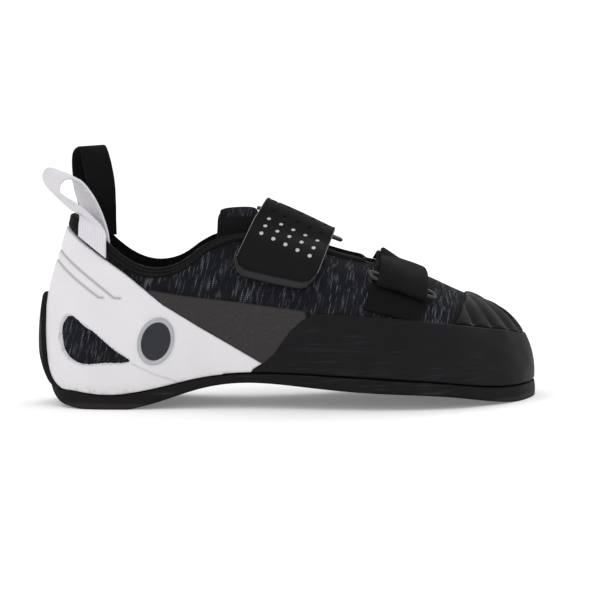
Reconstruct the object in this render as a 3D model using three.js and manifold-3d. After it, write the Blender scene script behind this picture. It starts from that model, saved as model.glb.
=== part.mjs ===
// A climbing shoe for the right foot: knitted upper, rubber rand, pale heel cup and two straps.
// Millimetres, +Z up, toe towards +X, the outer side of the foot towards -Y.
import * as THREE from "three";
import { mergeVertices } from "three/addons/utils/BufferGeometryUtils.js";
import Module from "manifold-3d";

// Driving sizes
const footLength = 250;
const ballHalf = 42;
const heelHalf = 28.5;
const instepHeight = 90;
const wall = 2;
const gap = 0.3;
const randThick = 1.5;
const panelThick = 1;
const insoleThick = 2;
const stripThick = 2.4;
const tongueThick = 3;
const strapThick = 1.8;
const tapeThick = 1.2;
const wireRadius = 1;
const loopThick = 1.3;

// Layers above the knitted wall
const layerIn = 0.45;
const layerOut = layerIn + randThick;
const soleIn = layerOut + gap;

const rowsPerSide = 13;
const rowCount = 2 * rowsPerSide;

// Outline of the bottom edge, from the heel along the outer side to the toe and back along the inner side.
// x is a share of footLength, heel and ball are shares of the two half widths, z a share of instepHeight.
const edgeRows = [
  { x: 0.019, heel: 0, ball: 0, z: 0.333 },
  { x: 0.04, heel: -0.505, ball: 0, z: 0.185 },
  { x: 0.086, heel: -0.835, ball: 0, z: 0.117 },
  { x: 0.152, heel: -0.985, ball: 0, z: 0.1 },
  { x: 0.24, heel: -1, ball: 0, z: 0.135 },
  { x: 0.328, heel: -0.75, ball: -0.17, z: 0.19 },
  { x: 0.42, heel: -0.35, ball: -0.49, z: 0.216 },
  { x: 0.516, heel: 0, ball: -0.85, z: 0.217 },
  { x: 0.612, heel: 0, ball: -0.965, z: 0.207 },
  { x: 0.712, heel: 0, ball: -1.02, z: 0.19 },
  { x: 0.808, heel: 0, ball: -0.94, z: 0.165 },
  { x: 0.884, heel: 0, ball: -0.7, z: 0.13 },
  { x: 0.952, heel: 0, ball: -0.3, z: 0.108 },
  { x: 0.992, heel: 0, ball: 0.28, z: 0.103 },
  { x: 0.967, heel: 0, ball: 0.7, z: 0.106 },
  { x: 0.892, heel: 0, ball: 0.91, z: 0.127 },
  { x: 0.812, heel: 0, ball: 0.985, z: 0.162 },
  { x: 0.728, heel: 0, ball: 0.955, z: 0.187 },
  { x: 0.64, heel: 0, ball: 0.83, z: 0.207 },
  { x: 0.548, heel: 0, ball: 0.645, z: 0.222 },
  { x: 0.452, heel: 0.12, ball: 0.45, z: 0.226 },
  { x: 0.356, heel: 0.49, ball: 0.2, z: 0.205 },
  { x: 0.264, heel: 0.895, ball: 0, z: 0.152 },
  { x: 0.172, heel: 0.975, ball: 0, z: 0.102 },
  { x: 0.09, heel: 0.845, ball: 0, z: 0.117 },
  { x: 0.042, heel: 0.515, ball: 0, z: 0.185 },
];

// Top line, the same for both sides: the collar, the throat's edge and then the ridge of the toe box.
// open is the half opening as a share of heelHalf.
const topRows = [
  { x: 0.076, z: 1.055, open: 0 },
  { x: 0.086, z: 1.045, open: 0.47 },
  { x: 0.124, z: 0.978, open: 0.755 },
  { x: 0.18, z: 0.84, open: 0.86 },
  { x: 0.244, z: 0.775, open: 0.895 },
  { x: 0.304, z: 0.825, open: 0.84 },
  { x: 0.352, z: 0.915, open: 0.65 },
  { x: 0.432, z: 0.945, open: 0.46 },
  { x: 0.532, z: 0.885, open: 0.37 },
  { x: 0.632, z: 0.8, open: 0.35 },
  { x: 0.732, z: 0.735, open: 0.35 },
  { x: 0.812, z: 0.635, open: 0.35 },
  { x: 0.868, z: 0.563, open: 0.3 },
  { x: 0.912, z: 0.505, open: 0 },
];

// Middle line of the bottom, y as a share of ballHalf; sole is the sole's thickness as a share of instepHeight.
const bottomRows = [
  { x: 0.115, y: 0, z: 0.078, sole: 0.062 },
  { x: 0.13, y: 0, z: 0.078, sole: 0.073 },
  { x: 0.155, y: 0, z: 0.077, sole: 0.09 },
  { x: 0.19, y: 0, z: 0.079, sole: 0.092 },
  { x: 0.25, y: -0.01, z: 0.108, sole: 0.08 },
  { x: 0.33, y: -0.07, z: 0.166, sole: 0.06 },
  { x: 0.42, y: -0.1, z: 0.195, sole: 0.053 },
  { x: 0.52, y: -0.1, z: 0.195, sole: 0.068 },
  { x: 0.61, y: -0.07, z: 0.184, sole: 0.083 },
  { x: 0.7, y: -0.03, z: 0.166, sole: 0.083 },
  { x: 0.785, y: 0.03, z: 0.14, sole: 0.078 },
  { x: 0.85, y: 0.11, z: 0.1, sole: 0.08 },
  { x: 0.895, y: 0.2, z: 0.08, sole: 0.09 },
  { x: 0.925, y: 0.27, z: 0.074, sole: 0.09 },
];

// Fullness of each wall curve: belly a share of ballHalf, rise and drop shares of its height, reach a
// share of its width, corner a share of instepHeight.
const fullRows = [
  { belly: 0, rise: 0.45, reach: 0.3, drop: 0.3, corner: 0.15 },
  { belly: 0.02, rise: 0.43, reach: 0.25, drop: 0.3, corner: 0.085 },
  { belly: 0.06, rise: 0.42, reach: 0.1, drop: 0.3, corner: 0.045 },
  { belly: 0.08, rise: 0.42, reach: 0, drop: 0.3, corner: 0.035 },
  { belly: 0.08, rise: 0.42, reach: 0, drop: 0.3, corner: 0.03 },
  { belly: 0.08, rise: 0.42, reach: 0.05, drop: 0.28, corner: 0.03 },
  { belly: 0.08, rise: 0.42, reach: 0.2, drop: 0.2, corner: 0.03 },
  { belly: 0.1, rise: 0.42, reach: 0.4, drop: 0.12, corner: 0.03 },
  { belly: 0.1, rise: 0.42, reach: 0.48, drop: 0.07, corner: 0.03 },
  { belly: 0.08, rise: 0.42, reach: 0.5, drop: 0.05, corner: 0.03 },
  { belly: 0.06, rise: 0.45, reach: 0.5, drop: 0.04, corner: 0.03 },
  { belly: 0.05, rise: 0.5, reach: 0.5, drop: 0.03, corner: 0.03 },
  { belly: 0.04, rise: 0.5, reach: 0.5, drop: 0.05, corner: 0.03 },
  { belly: 0.03, rise: 0.5, reach: 0.5, drop: 0.08, corner: 0.03 },
];

const throatShut = { from: 9.35, to: 10 };
const ridgeShift = { share: 0.22, from: 0.45, to: 0.95 };

const clamp01 = (t) => Math.min(1, Math.max(0, t));
const ease = (t) => clamp01(t) ** 2 * (3 - 2 * clamp01(t));
const mix = (a, b, t) => a + (b - a) * t;

// The row of one side that a ring index stands for.
const pairOf = (index) => (index <= rowsPerSide ? index : rowCount - index);

// A closed smooth curve through one value a row: the cubic B-spline whose knots lie on those values.
function closedSpline(values) {
  const held = values.slice();
  for (let pass = 0; pass < 40; pass++) {
    for (let i = 0; i < rowCount; i++) {
      const sides = held[(i + rowCount - 1) % rowCount] + held[(i + 1) % rowCount];
      held[i] = (6 * values[i] - sides) / 4;
    }
  }
  return (u) => {
    const whole = Math.floor(u);
    const t = u - whole;
    const at = (k) => held[(((whole + k) % rowCount) + rowCount) % rowCount];
    const weights = [(1 - t) ** 3, 3 * t ** 3 - 6 * t ** 2 + 4, -3 * t ** 3 + 3 * t ** 2 + 3 * t + 1, t ** 3];
    return weights.reduce((sum, weight, k) => sum + (weight * at(k - 1)) / 6, 0);
  };
}

const ring = Array.from({ length: rowCount }, (_, index) => index);
const sideOf = (index) => (index <= rowsPerSide ? -1 : 1);
const paired = (rows, pick) => closedSpline(ring.map((index) => pick(rows[pairOf(index)], sideOf(index))));

const last = {
  edgeX: closedSpline(edgeRows.map((row) => row.x * footLength)),
  edgeY: closedSpline(edgeRows.map((row) => row.heel * heelHalf + row.ball * ballHalf)),
  edgeZ: closedSpline(edgeRows.map((row) => row.z * instepHeight)),
  topX: paired(topRows, (row) => row.x * footLength),
  topZ: paired(topRows, (row) => row.z * instepHeight),
  open: paired(topRows, (row, side) => side * row.open * heelHalf),
  bottomX: paired(bottomRows, (row) => row.x * footLength),
  bottomY: paired(bottomRows, (row) => row.y * ballHalf),
  bottomZ: paired(bottomRows, (row) => row.z * instepHeight),
  sole: paired(bottomRows, (row) => row.sole * instepHeight),
  belly: paired(fullRows, (row) => row.belly * ballHalf),
  rise: paired(fullRows, (row) => row.rise),
  reach: paired(fullRows, (row) => row.reach),
  drop: paired(fullRows, (row) => row.drop),
  corner: paired(fullRows, (row) => row.corner * instepHeight),
};

const wrapped = (u) => ((u % rowCount) + rowCount) % rowCount;
const pairPlace = (u) => (wrapped(u) <= rowsPerSide ? wrapped(u) : rowCount - wrapped(u));
const throatOpen = (u) => 1 - ease((pairPlace(u) - throatShut.from) / (throatShut.to - throatShut.from));
const ridgeY = (x) =>
  ridgeShift.share * ballHalf * ease((x / footLength - ridgeShift.from) / (ridgeShift.to - ridgeShift.from));

const bezier = (a, b, c, d, t) =>
  new THREE.Vector3()
    .addScaledVector(a, (1 - t) ** 3)
    .addScaledVector(b, 3 * t * (1 - t) ** 2)
    .addScaledVector(c, 3 * t * t * (1 - t))
    .addScaledVector(d, t ** 3);

const vec = (x, y, z) => new THREE.Vector3(x, y, z);
const up = vec(0, 0, 1);

// The control points of one column: bottom middle line, bottom edge and top line.
function column(u) {
  const edge = vec(last.edgeX(u), last.edgeY(u), last.edgeZ(u));
  const step = 0.02;
  const along = vec(
    last.edgeX(u + step) - last.edgeX(u - step),
    last.edgeY(u + step) - last.edgeY(u - step),
    0,
  ).normalize();
  const out = vec(along.y, -along.x, 0);
  const topX = last.topX(u);
  const top = vec(topX, ridgeY(topX) + last.open(u) * throatOpen(u), last.topZ(u));
  const middle = vec(last.bottomX(u), last.bottomY(u), last.bottomZ(u));
  const height = top.z - edge.z;
  const inward = vec(top.x - edge.x, top.y - edge.y, 0);
  const low = edge.clone().addScaledVector(out, last.belly(u)).addScaledVector(up, last.rise(u) * height);
  const high = top.clone().addScaledVector(inward, -last.reach(u)).addScaledVector(up, -last.drop(u) * height);
  const climb = low.clone().sub(edge).normalize();
  const under = middle.clone().add(vec(edge.x - middle.x, edge.y - middle.y, 0).multiplyScalar(0.6));
  const turn = edge.clone().addScaledVector(climb, -last.corner(u));
  return { middle, under, turn, edge, low, high, top, out };
}

// A point of the last: s runs from -1 at the bottom's middle line through 0 at the edge to 1 at the top.
function bare(u, s) {
  const c = column(u);
  return s < 0 ? bezier(c.middle, c.under, c.turn, c.edge, 1 + s) : bezier(c.edge, c.low, c.high, c.top, s);
}

function facing(u, s) {
  const step = 0.03;
  const across = bare(u + step, s).sub(bare(u - step, s));
  const rising = bare(u, Math.min(1, s + step)).sub(bare(u, Math.max(-1, s - step)));
  return across.cross(rising).normalize();
}

// Outward direction of the last's surface; both sides agree along the ridge and the bottom's middle line.
function normal(u, s) {
  const nearTop = s > 0.97 && throatOpen(u) < 0.01;
  const found = facing(u, Math.min(s, 0.985));
  if (nearTop) return found.add(facing(rowCount - u, 0.985)).normalize();
  const flat = 1 - ease((s + 1) / 0.2);
  return found.lerp(vec(0, 0, -1), flat).normalize();
}

const onLast = (u, s, offset) => bare(u, s).addScaledVector(normal(u, s), offset);

// Where a column crosses a line z = height(x) of the side view.
function crossing(u, height, low = -0.1, high = 1) {
  let [a, b] = [low, high];
  for (let pass = 0; pass < 26; pass++) {
    const middle = (a + b) / 2;
    const point = bare(u, middle);
    if (point.z < height(point.x, u)) a = middle;
    else b = middle;
  }
  return (a + b) / 2;
}

const wasm = await Module();
wasm.setup();

function solidOf(geometry) {
  const bareGeometry = new THREE.BufferGeometry();
  bareGeometry.setAttribute("position", geometry.getAttribute("position"));
  bareGeometry.setIndex(geometry.index);
  const merged = mergeVertices(bareGeometry, 1e-4);
  return new wasm.Manifold(
    new wasm.Mesh({
      numProp: 3,
      vertProperties: merged.attributes.position.array,
      triVerts: new Uint32Array(merged.index.array),
    }),
  );
}

function geometryOf(solid) {
  const mesh = solid.getMesh();
  const geometry = new THREE.BufferGeometry();
  geometry.setAttribute("position", new THREE.BufferAttribute(new Float32Array(mesh.vertProperties), 3));
  geometry.setIndex(new THREE.BufferAttribute(mesh.triVerts, 1));
  geometry.computeVertexNormals();
  return geometry;
}

// A closed geometry from two grids of points, the outer one first. round says that the columns close on
// themselves. The rim is walled, apart from where two stretches of it meet and close each other.
function shell(outer, inner, round = false) {
  const columns = outer.length;
  const rows = outer[0].length;
  const points = [...outer.flat(), ...inner.flat()];
  const at = (layer, i, j) => layer * columns * rows + (i % columns) * rows + j;
  const faces = [];
  const rim = [];
  const spans = round ? columns : columns - 1;
  for (let i = 0; i < spans; i++) {
    for (let j = 0; j < rows - 1; j++) {
      faces.push([at(0, i, j), at(0, i + 1, j), at(0, i + 1, j + 1), at(0, i, j + 1)]);
      faces.push([at(1, i, j), at(1, i, j + 1), at(1, i + 1, j + 1), at(1, i + 1, j)]);
    }
    rim.push([at(0, i, 0), at(1, i, 0), at(1, i + 1, 0), at(0, i + 1, 0)]);
    rim.push([at(0, i, rows - 1), at(0, i + 1, rows - 1), at(1, i + 1, rows - 1), at(1, i, rows - 1)]);
  }
  const end = columns - 1;
  for (let j = 0; j < rows - 1 && !round; j++) {
    rim.push([at(0, 0, j), at(0, 0, j + 1), at(1, 0, j + 1), at(1, 0, j)]);
    rim.push([at(0, end, j), at(1, end, j), at(1, end, j + 1), at(0, end, j + 1)]);
  }
  const spot = (k) => points[k].toArray().map((value) => Math.round(value * 1000)).join(" ");
  const keyOf = (quad) => quad.map(spot).sort().join("|");
  const met = new Map();
  for (const quad of rim) met.set(keyOf(quad), (met.get(keyOf(quad)) ?? 0) + 1);
  faces.push(...rim.filter((quad) => met.get(keyOf(quad)) === 1));
  const geometry = new THREE.BufferGeometry();
  const positions = new Float32Array(points.flatMap((p) => p.toArray()));
  geometry.setAttribute("position", new THREE.BufferAttribute(positions, 3));
  geometry.setIndex(faces.flatMap(([a, b, c, d]) => [a, b, c, a, c, d]));
  return welded(geometry);
}

// Vertices that coincide become one, and triangles without area go.
function welded(geometry) {
  const merged = mergeVertices(geometry, 1e-3);
  const source = Array.from(merged.index.array);
  const kept = [];
  for (let i = 0; i < source.length; i += 3) {
    const [a, b, c] = source.slice(i, i + 3);
    if (a !== b && b !== c && a !== c) kept.push(a, b, c);
  }
  merged.setIndex(kept);
  merged.computeVertexNormals();
  return merged;
}

const steps = (from, to, count) => Array.from({ length: count + 1 }, (_, i) => mix(from, to, i / count));

// A layer over part of the last, between two heights of each column.
function layer({ places, low, high, rows, inner, outer, round = false }) {
  const grid = (offset) =>
    places.map((u) => steps(low(u), high(u), rows).map((s) => onLast(u, s, offset)));
  return shell(grid(outer), grid(inner), round);
}

// Places round the ring, closer together round the heel and round the toe.
const heelPlace = (u) => Math.min(wrapped(u), rowCount - wrapped(u));
const toePlace = (u) => Math.abs(wrapped(u) - rowsPerSide);
const ringPlaces = steps(0, rowCount, 4 * rowCount).filter(
  (u, i) => u < rowCount && (i % 2 === 0 || heelPlace(u) < 1.9 || toePlace(u) < 1.6),
);
function placesFrom(from, to) {
  const all = [...ringPlaces.map((u) => u - rowCount), ...ringPlaces, ...ringPlaces.map((u) => u + rowCount)];
  return [from, ...all.filter((u) => u > from + 0.08 && u < to - 0.08), to];
}

// Where the last turns under: the round heel carries it further down its columns than the sides do.
const turnUnder = (u) => mix(-0.5, -0.14, ease(heelPlace(u) / 2));

// Lines of the side view, z over x, as shares of footLength and instepHeight.
function sideLine(points) {
  const placed = points.map(([x, z]) => [x * footLength, z * instepHeight]);
  return (x) => {
    const next = placed.findIndex(([px]) => px > x);
    const i = next < 0 ? placed.length - 1 : Math.max(1, next);
    const [a, b] = [placed[i - 1], placed[i]];
    return mix(a[1], b[1], (x - a[0]) / (b[0] - a[0]));
  };
}
const cupTop = sideLine([[0.04, 1.06], [0.0724, 0.98], [0.139, 0.834], [0.185, 0.74], [0.255, 0.577], [0.326, 0.456],
  [0.452, 0.257]]);
const randTop = sideLine([[0.396, 0.161], [0.416, 0.186], [0.45, 0.246], [0.476, 0.313], [0.506, 0.43], [0.53, 0.49],
  [0.556, 0.53], [0.728, 0.49], [0.848, 0.436], [0.93, 0.39], [1, 0.32]]);
const panelTop = sideLine([[0.22, 0.66], [0.3, 0.62], [0.426, 0.578], [0.55, 0.535]]);
const seam = 0.012;

// The place between two columns where two lines of the side view cross on the last.
function meeting(lineA, lineB, from, to) {
  const rises = (u) => crossing(u, lineA) > crossing(u, lineB);
  const start = rises(from);
  let [a, b] = [from, to];
  for (let pass = 0; pass < 20; pass++) {
    const middle = (a + b) / 2;
    if (rises(middle) === start) a = middle;
    else b = middle;
  }
  return a;
}

// Upper: the knitted wall from just under the edge to the collar, the throat and the ridge.
const upper = layer({
  places: ringPlaces,
  low: turnUnder,
  high: () => 1,
  rows: 8,
  inner: -wall,
  outer: 0,
  round: true,
});

// Insole board: closes the upper's bottom, flush with the wall.
const insoleGrid = (offset) =>
  ringPlaces.map((u) => steps(-1, turnUnder(u) - 0.12, 3).map((s) => onLast(u, s, offset)));
const insole = shell(insoleGrid(0), insoleGrid(-insoleThick), true);

// Sole: its side wall stands straight under the last, and its seat clears the layers that turn under.
const soleEdge = (u) => turnUnder(u) + mix(0.12, 0.06, ease(heelPlace(u) / 2));
const soleRows = [0, 0.4, 0.7, 0.84, 0.92, 1];
function solePoint(u, share) {
  const s = mix(-1, soleEdge(u), share);
  const top = onLast(u, s, mix(layerIn, soleIn, ease((s - turnUnder(u) + 0.1) / 0.07)));
  const spread = soleIn * ease((share - 0.45) / 0.5);
  const low = bare(u, s).addScaledVector(column(u).out, spread).addScaledVector(up, -last.sole(u));
  low.z = Math.max(0, low.z - soleIn * ease((share - 0.8) / 0.2) * 0.4);
  return { top, low };
}
const soleGrid = (side) => ringPlaces.map((u) => soleRows.map((share) => solePoint(u, share)[side]));
const sole = shell(soleGrid("low"), soleGrid("top"), true);

// Heel strip: climbs from the sole up the back of the heel and narrows.
const stripTop = 0.62;
const stripSpan = 1.3;
const stripPlaces = placesFrom(-stripSpan, stripSpan);
const stripLow = (u) => soleEdge(u) + 0.06;
const heelStrip = layer({
  places: stripPlaces,
  low: stripLow,
  high: (u) => {
    const rise = 0.5 + 0.5 * Math.cos((Math.PI * heelPlace(u)) / stripSpan);
    return mix(stripLow(u) + 0.05, crossing(0, () => stripTop * instepHeight), rise);
  },
  rows: 7,
  inner: soleIn,
  outer: soleIn + stripThick,
});

const overlayFoot = (u) => turnUnder(u) + 0.025;

// Where the cup runs out into a tip against the rand, inner side first.
const cupTip = 0.06;
const cupEnds = [meeting(cupTop, randTop, -5.5, -7) + cupTip, meeting(cupTop, randTop, 5.5, 7) - cupTip];
const between = (places, more) => [...places, ...more].sort((a, b) => a - b);

// Rand: from the arch round the toe to the other arch.
const randStart = 5.5;
const tipPlace = 5.75;
const randHigh = (u) => crossing(u, randTop, overlayFoot(u) + 0.03);
const rand = layer({
  places: between(
    placesFrom(randStart, rowCount - randStart),
    [tipPlace, cupEnds[1], rowCount + cupEnds[0], rowCount - tipPlace],
  ),
  low: overlayFoot,
  high: randHigh,
  rows: 4,
  inner: layerIn,
  outer: layerOut,
});

// A slice through the whole width between two depths, from an outline of the side view given in shares.
function slice(outline, from = -100, to = 100) {
  const corners = outline.map(([x, z]) => [x * footLength, z * instepHeight]);
  return wasm.CrossSection.ofPolygons([corners], "Positive")
    .extrude(to - from)
    .rotate([90, 0, 0])
    .translate([0, to, 0]);
}
const inLoop = (outline) => {
  const area = outline.reduce((sum, [x, z], i) => {
    const [nx, nz] = outline[(i + 1) % outline.length];
    return sum + x * nz - nx * z;
  }, 0);
  return area > 0 ? outline : outline.slice().reverse();
};

// Heel cup: over the heel, up to a slanting edge, with an almond window on each side.
const almond = inLoop([
  [0.066, 0.48], [0.056, 0.43], [0.054, 0.365], [0.062, 0.29], [0.078, 0.245], [0.1, 0.225],
  [0.138, 0.24], [0.19, 0.25], [0.162, 0.305], [0.134, 0.37], [0.111, 0.42], [0.088, 0.465],
]);
const cupLow = (u) => (heelPlace(u) < randStart - 0.01 ? overlayFoot(u) : randHigh(u) + 1.5 * seam);
const cupWhole = layer({
  places: between(placesFrom(...cupEnds), [-tipPlace, tipPlace]),
  low: cupLow,
  high: (u) => Math.max(Math.min(crossing(u, cupTop, overlayFoot(u)) - seam, 0.91), cupLow(u) + 0.012),
  rows: 7,
  inner: layerIn,
  outer: layerOut,
});
const heelCup = geometryOf(
  solidOf(cupWhole).subtract(slice(almond, -100, -8)).subtract(slice(almond, 8, 100)),
);

// Side panels: between the cup, the rand and the knit above.
const panelFrom = 3.75;
const panelTo = 7.4;
function panel(from, to, tip) {
  return layer({
    places: between(placesFrom(from, to), [tip]),
    low: (u) => Math.max(crossing(u, cupTop), crossing(u, randTop)) + seam,
    high: (u) => {
      const floor = Math.max(crossing(u, cupTop), crossing(u, randTop)) + seam;
      return Math.max(crossing(u, panelTop), floor + 0.012);
    },
    rows: 4,
    inner: layerIn,
    outer: layerIn + panelThick,
  });
}
const panelOuter = panel(panelFrom, panelTo, cupEnds[1] + cupTip);
const panelInner = panel(rowCount - panelTo, rowCount - panelFrom, rowCount + cupEnds[0] - cupTip);

// Toe patch: ribbed rubber over the toe box, up to a slanting line on each side.
const patchBack = sideLine([[0.82, 0.41], [0.86, 0.575], [0.9, 0.74]]);
const patchStart = 0.08 + meeting(patchBack, randTop, 10, 12);
const patch = { rib: 0.5, base: 1, columns: 28 };
const patchRows = (u) => {
  const low = crossing(u, randTop) + seam;
  return steps(low, Math.max(crossing(u, patchBack), low + seam), 5);
};
const patchPlaces = steps(patchStart, rowCount - patchStart, patch.columns);
const patchOut = (i) => layerIn + patch.base + (Math.abs(i - patch.columns / 2) % 4 >= 2 ? patch.rib : 0);
const toePatch = shell(
  patchPlaces.map((u, i) => patchRows(u).map((s) => onLast(u, s, patchOut(i)))),
  patchPlaces.map((u) => patchRows(u).map((s) => onLast(u, s, layerIn))),
);

// Bindings along the collar and along both edges of the throat.
const tape = (from, to, width) =>
  layer({
    places: placesFrom(from, to),
    low: () => 1 - width,
    high: () => 1,
    rows: 2,
    inner: layerIn,
    outer: layerIn + tapeThick,
  });
const collarBinding = tape(-7.1, 7.1, 0.07);
const throatOuter = tape(7.2, 9.2, 0.1);
const throatInner = tape(rowCount - 9.2, rowCount - 7.2, 0.1);

// The last with its throat domed over, grown outward, as one solid. lift adds to that here and there.
const formRows = [-1, -0.7, -0.4, -0.2, -0.1, 0, 0.12, 0.24, 0.36, 0.48, 0.6, 0.7, 0.8, 0.88, 0.94, 1];
const domeRows = [0.12, 0.26, 0.4, 0.5];
const dome = { crown: 0.24, humpHalf: 12 };
const hump = (p, away) => Math.exp(-(((p.y - ridgeY(p.x) - away) / dome.humpHalf) ** 2));
function form(offset, lift = () => 0) {
  const grown = (p, n) => p.clone().addScaledVector(n, offset + lift(p));
  const columns = ringPlaces.map((u) => {
    const side = formRows.map((s) => grown(bare(u, s), normal(u, s)));
    const [near, far] = [bare(u, 1), bare(rowCount - u, 1)];
    const [nearFace, farFace] = [normal(u, 1), normal(rowCount - u, 1)];
    const over = domeRows.map((q) => {
      const p = near.clone().lerp(far, q);
      p.z += dome.crown * near.distanceTo(far) * 4 * q * (1 - q);
      return grown(p, nearFace.clone().lerp(farFace, q).normalize());
    });
    return [...side, ...over];
  });
  const rows = columns[0].length;
  const faces = [];
  const at = (i, j) => (i % columns.length) * rows + j;
  for (let i = 0; i < columns.length; i++) {
    for (let j = 0; j < rows - 1; j++) {
      faces.push(at(i, j), at(i + 1, j), at(i + 1, j + 1), at(i, j), at(i + 1, j + 1), at(i, j + 1));
    }
  }
  const geometry = new THREE.BufferGeometry();
  const positions = new Float32Array(columns.flat().flatMap((p) => p.toArray()));
  geometry.setAttribute("position", new THREE.BufferAttribute(positions, 3));
  geometry.setIndex(faces);
  return solidOf(welded(geometry));
}

// A band of the grown last inside an outline of the side view.
function band({ rise, thick, lift, outline, from = -100, to = 100 }) {
  return form(rise + thick, lift)
    .subtract(form(rise, lift))
    .intersect(slice(inLoop(outline), from, to));
}

// Upper strap: over the tongue from one panel to the other, its outer end a rounded pull tab.
const strapRise = 2;
const strapHump = { back: 6.4, front: 2.8, from: 0.463, to: 0.6 };
const strapLift = (p) => {
  const along = (p.x / footLength - strapHump.from) / (strapHump.to - strapHump.from);
  return mix(strapHump.back, strapHump.front, clamp01(along)) * hump(p, 0);
};
const upperStrap = band({
  rise: strapRise,
  thick: strapThick,
  lift: strapLift,
  outline: [
    [0.455, 1.3], [0.466, 1.1], [0.396, 0.79], [0.394, 0.755], [0.408, 0.725], [0.52, 0.652],
    [0.552, 0.665], [0.56, 0.715], [0.604, 0.955], [0.64, 1.1],
  ],
});
const frontRise = 2;
const frontHump = { height: 3.2, away: -0.7 };
const frontStrap = band({
  rise: frontRise,
  thick: strapThick,
  lift: (p) => frontHump.height * hump(p, frontHump.away * ballHalf),
  outline: [[0.689, 0.95], [0.688, 0.8], [0.675, 0.655], [0.772, 0.553], [0.779, 0.74], [0.796, 0.9]],
  to: 4,
});
const frontUnder = band({
  rise: gap + 0.1,
  thick: tapeThick,
  outline: [[0.682, 0.9], [0.672, 0.522], [0.776, 0.492], [0.79, 0.8]],
  to: 12,
});

// Wire rings: a long slot of round wire. place gives a point from a share of the length and from the
// distance across.
function wireRing(place, halfWidth) {
  const path = steps(0, 1, 20).slice(0, -1).map((t) => {
    const sine = Math.sin(2 * Math.PI * t);
    return place(0.5 + 0.5 * Math.cos(2 * Math.PI * t), halfWidth * Math.sign(sine) * Math.abs(sine) ** 0.4);
  });
  return welded(new THREE.TubeGeometry(new THREE.CatmullRomCurve3(path, true), 20, wireRadius, 6, true));
}

// The upper ring lies in the fold of the upper strap, level across, from one column to another.
function crest(u) {
  const [near, far] = [bare(u, 1), bare(rowCount - u, 1)];
  const top = near.clone().lerp(far, 0.5).addScaledVector(up, dome.crown * near.distanceTo(far));
  return top.addScaledVector(up, strapRise + strapLift(top) - 2.7 * wireRadius);
}
const upperRingEnds = [crest(7.12), crest(8.76)];
const upperRing = wireRing((t, across) => {
  const point = upperRingEnds[0].clone().lerp(upperRingEnds[1], t);
  point.y += across;
  return point;
}, 3.2);

// The front ring lies in the fold of the front strap and follows the wall below it.
const ringLine = sideLine([[0.676, 0.69], [0.776, 0.59]]);
const frontRing = wireRing((t, across) => {
  const u = mix(8.95, 10.1, t);
  return onLast(u, crossing(u, (x) => ringLine(x) + 0.8 * across), gap + tapeThick + 1.4 * wireRadius);
}, 1.7);

// Pull loops: a flat ribbon between two edge curves, whose points are shares of footLength, heelHalf
// and instepHeight.
function ribbon(front, rear, thick, count = 22) {
  const curve = (points) => {
    const placed = points.map(([x, y, z]) => vec(x * footLength, y * heelHalf, z * instepHeight));
    return new THREE.CatmullRomCurve3(placed, false, "centripetal");
  };
  const [a, b] = [curve(front), curve(rear)];
  const middle = (t) => a.getPoint(clamp01(t)).lerp(b.getPoint(clamp01(t)), 0.5);
  const face = (side) =>
    steps(0, 1, count).map((t) => {
      const along = middle(t + 0.01).sub(middle(t - 0.01));
      const n = along.cross(b.getPoint(t).sub(a.getPoint(t))).normalize();
      return [0, 0.5, 1].map((k) =>
        a.getPoint(t).lerp(b.getPoint(t), k).addScaledVector(n, side * (thick / 2)));
    });
  return shell(face(1), face(-1));
}
const loopOuter = ribbon(
  [
    [0.146, -0.944, 0.831], [0.146, -0.944, 0.901], [0.146, -0.937, 0.973], [0.122, -0.930, 1.052],
    [0.089, -0.905, 1.127], [0.058, -0.828, 1.178], [0.056, -0.744, 1.220], [0.064, -0.656, 1.254],
    [0.077, -0.646, 1.263], [0.095, -0.628, 1.247], [0.118, -0.582, 1.174], [0.136, -0.575, 1.073],
    [0.148, -0.611, 0.970], [0.151, -0.628, 0.899],
  ],
  [
    [0.090, -0.782, 0.952], [0.092, -0.782, 1.011], [0.092, -0.761, 1.070], [0.074, -0.635, 1.098],
    [0.051, -0.533, 1.154], [0.025, -0.470, 1.233], [0.019, -0.414, 1.281], [0.028, -0.326, 1.316],
    [0.051, -0.211, 1.292], [0.074, -0.158, 1.259], [0.081, -0.193, 1.183], [0.090, -0.277, 1.110],
    [0.109, -0.330, 1.019], [0.120, -0.347, 0.931],
  ],
  loopThick,
);
const loopInner = ribbon(
  [
    [0.152, 1.115, 0.767], [0.146, 1.065, 0.902], [0.135, 1.015, 1.082], [0.124, 0.961, 1.250],
    [0.124, 0.868, 1.368], [0.135, 0.743, 1.417], [0.145, 0.560, 1.368], [0.155, 0.512, 1.231],
    [0.157, 0.557, 1.096], [0.156, 0.674, 0.999], [0.156, 0.733, 0.920],
  ],
  [
    [0.096, 1.019, 0.744], [0.090, 0.956, 0.875], [0.080, 0.894, 1.051], [0.068, 0.829, 1.228],
    [0.069, 0.711, 1.377], [0.085, 0.485, 1.410], [0.090, 0.408, 1.343], [0.100, 0.372, 1.213],
    [0.102, 0.383, 1.082], [0.104, 0.463, 0.979], [0.106, 0.474, 0.902],
  ],
  loopThick,
);

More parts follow.
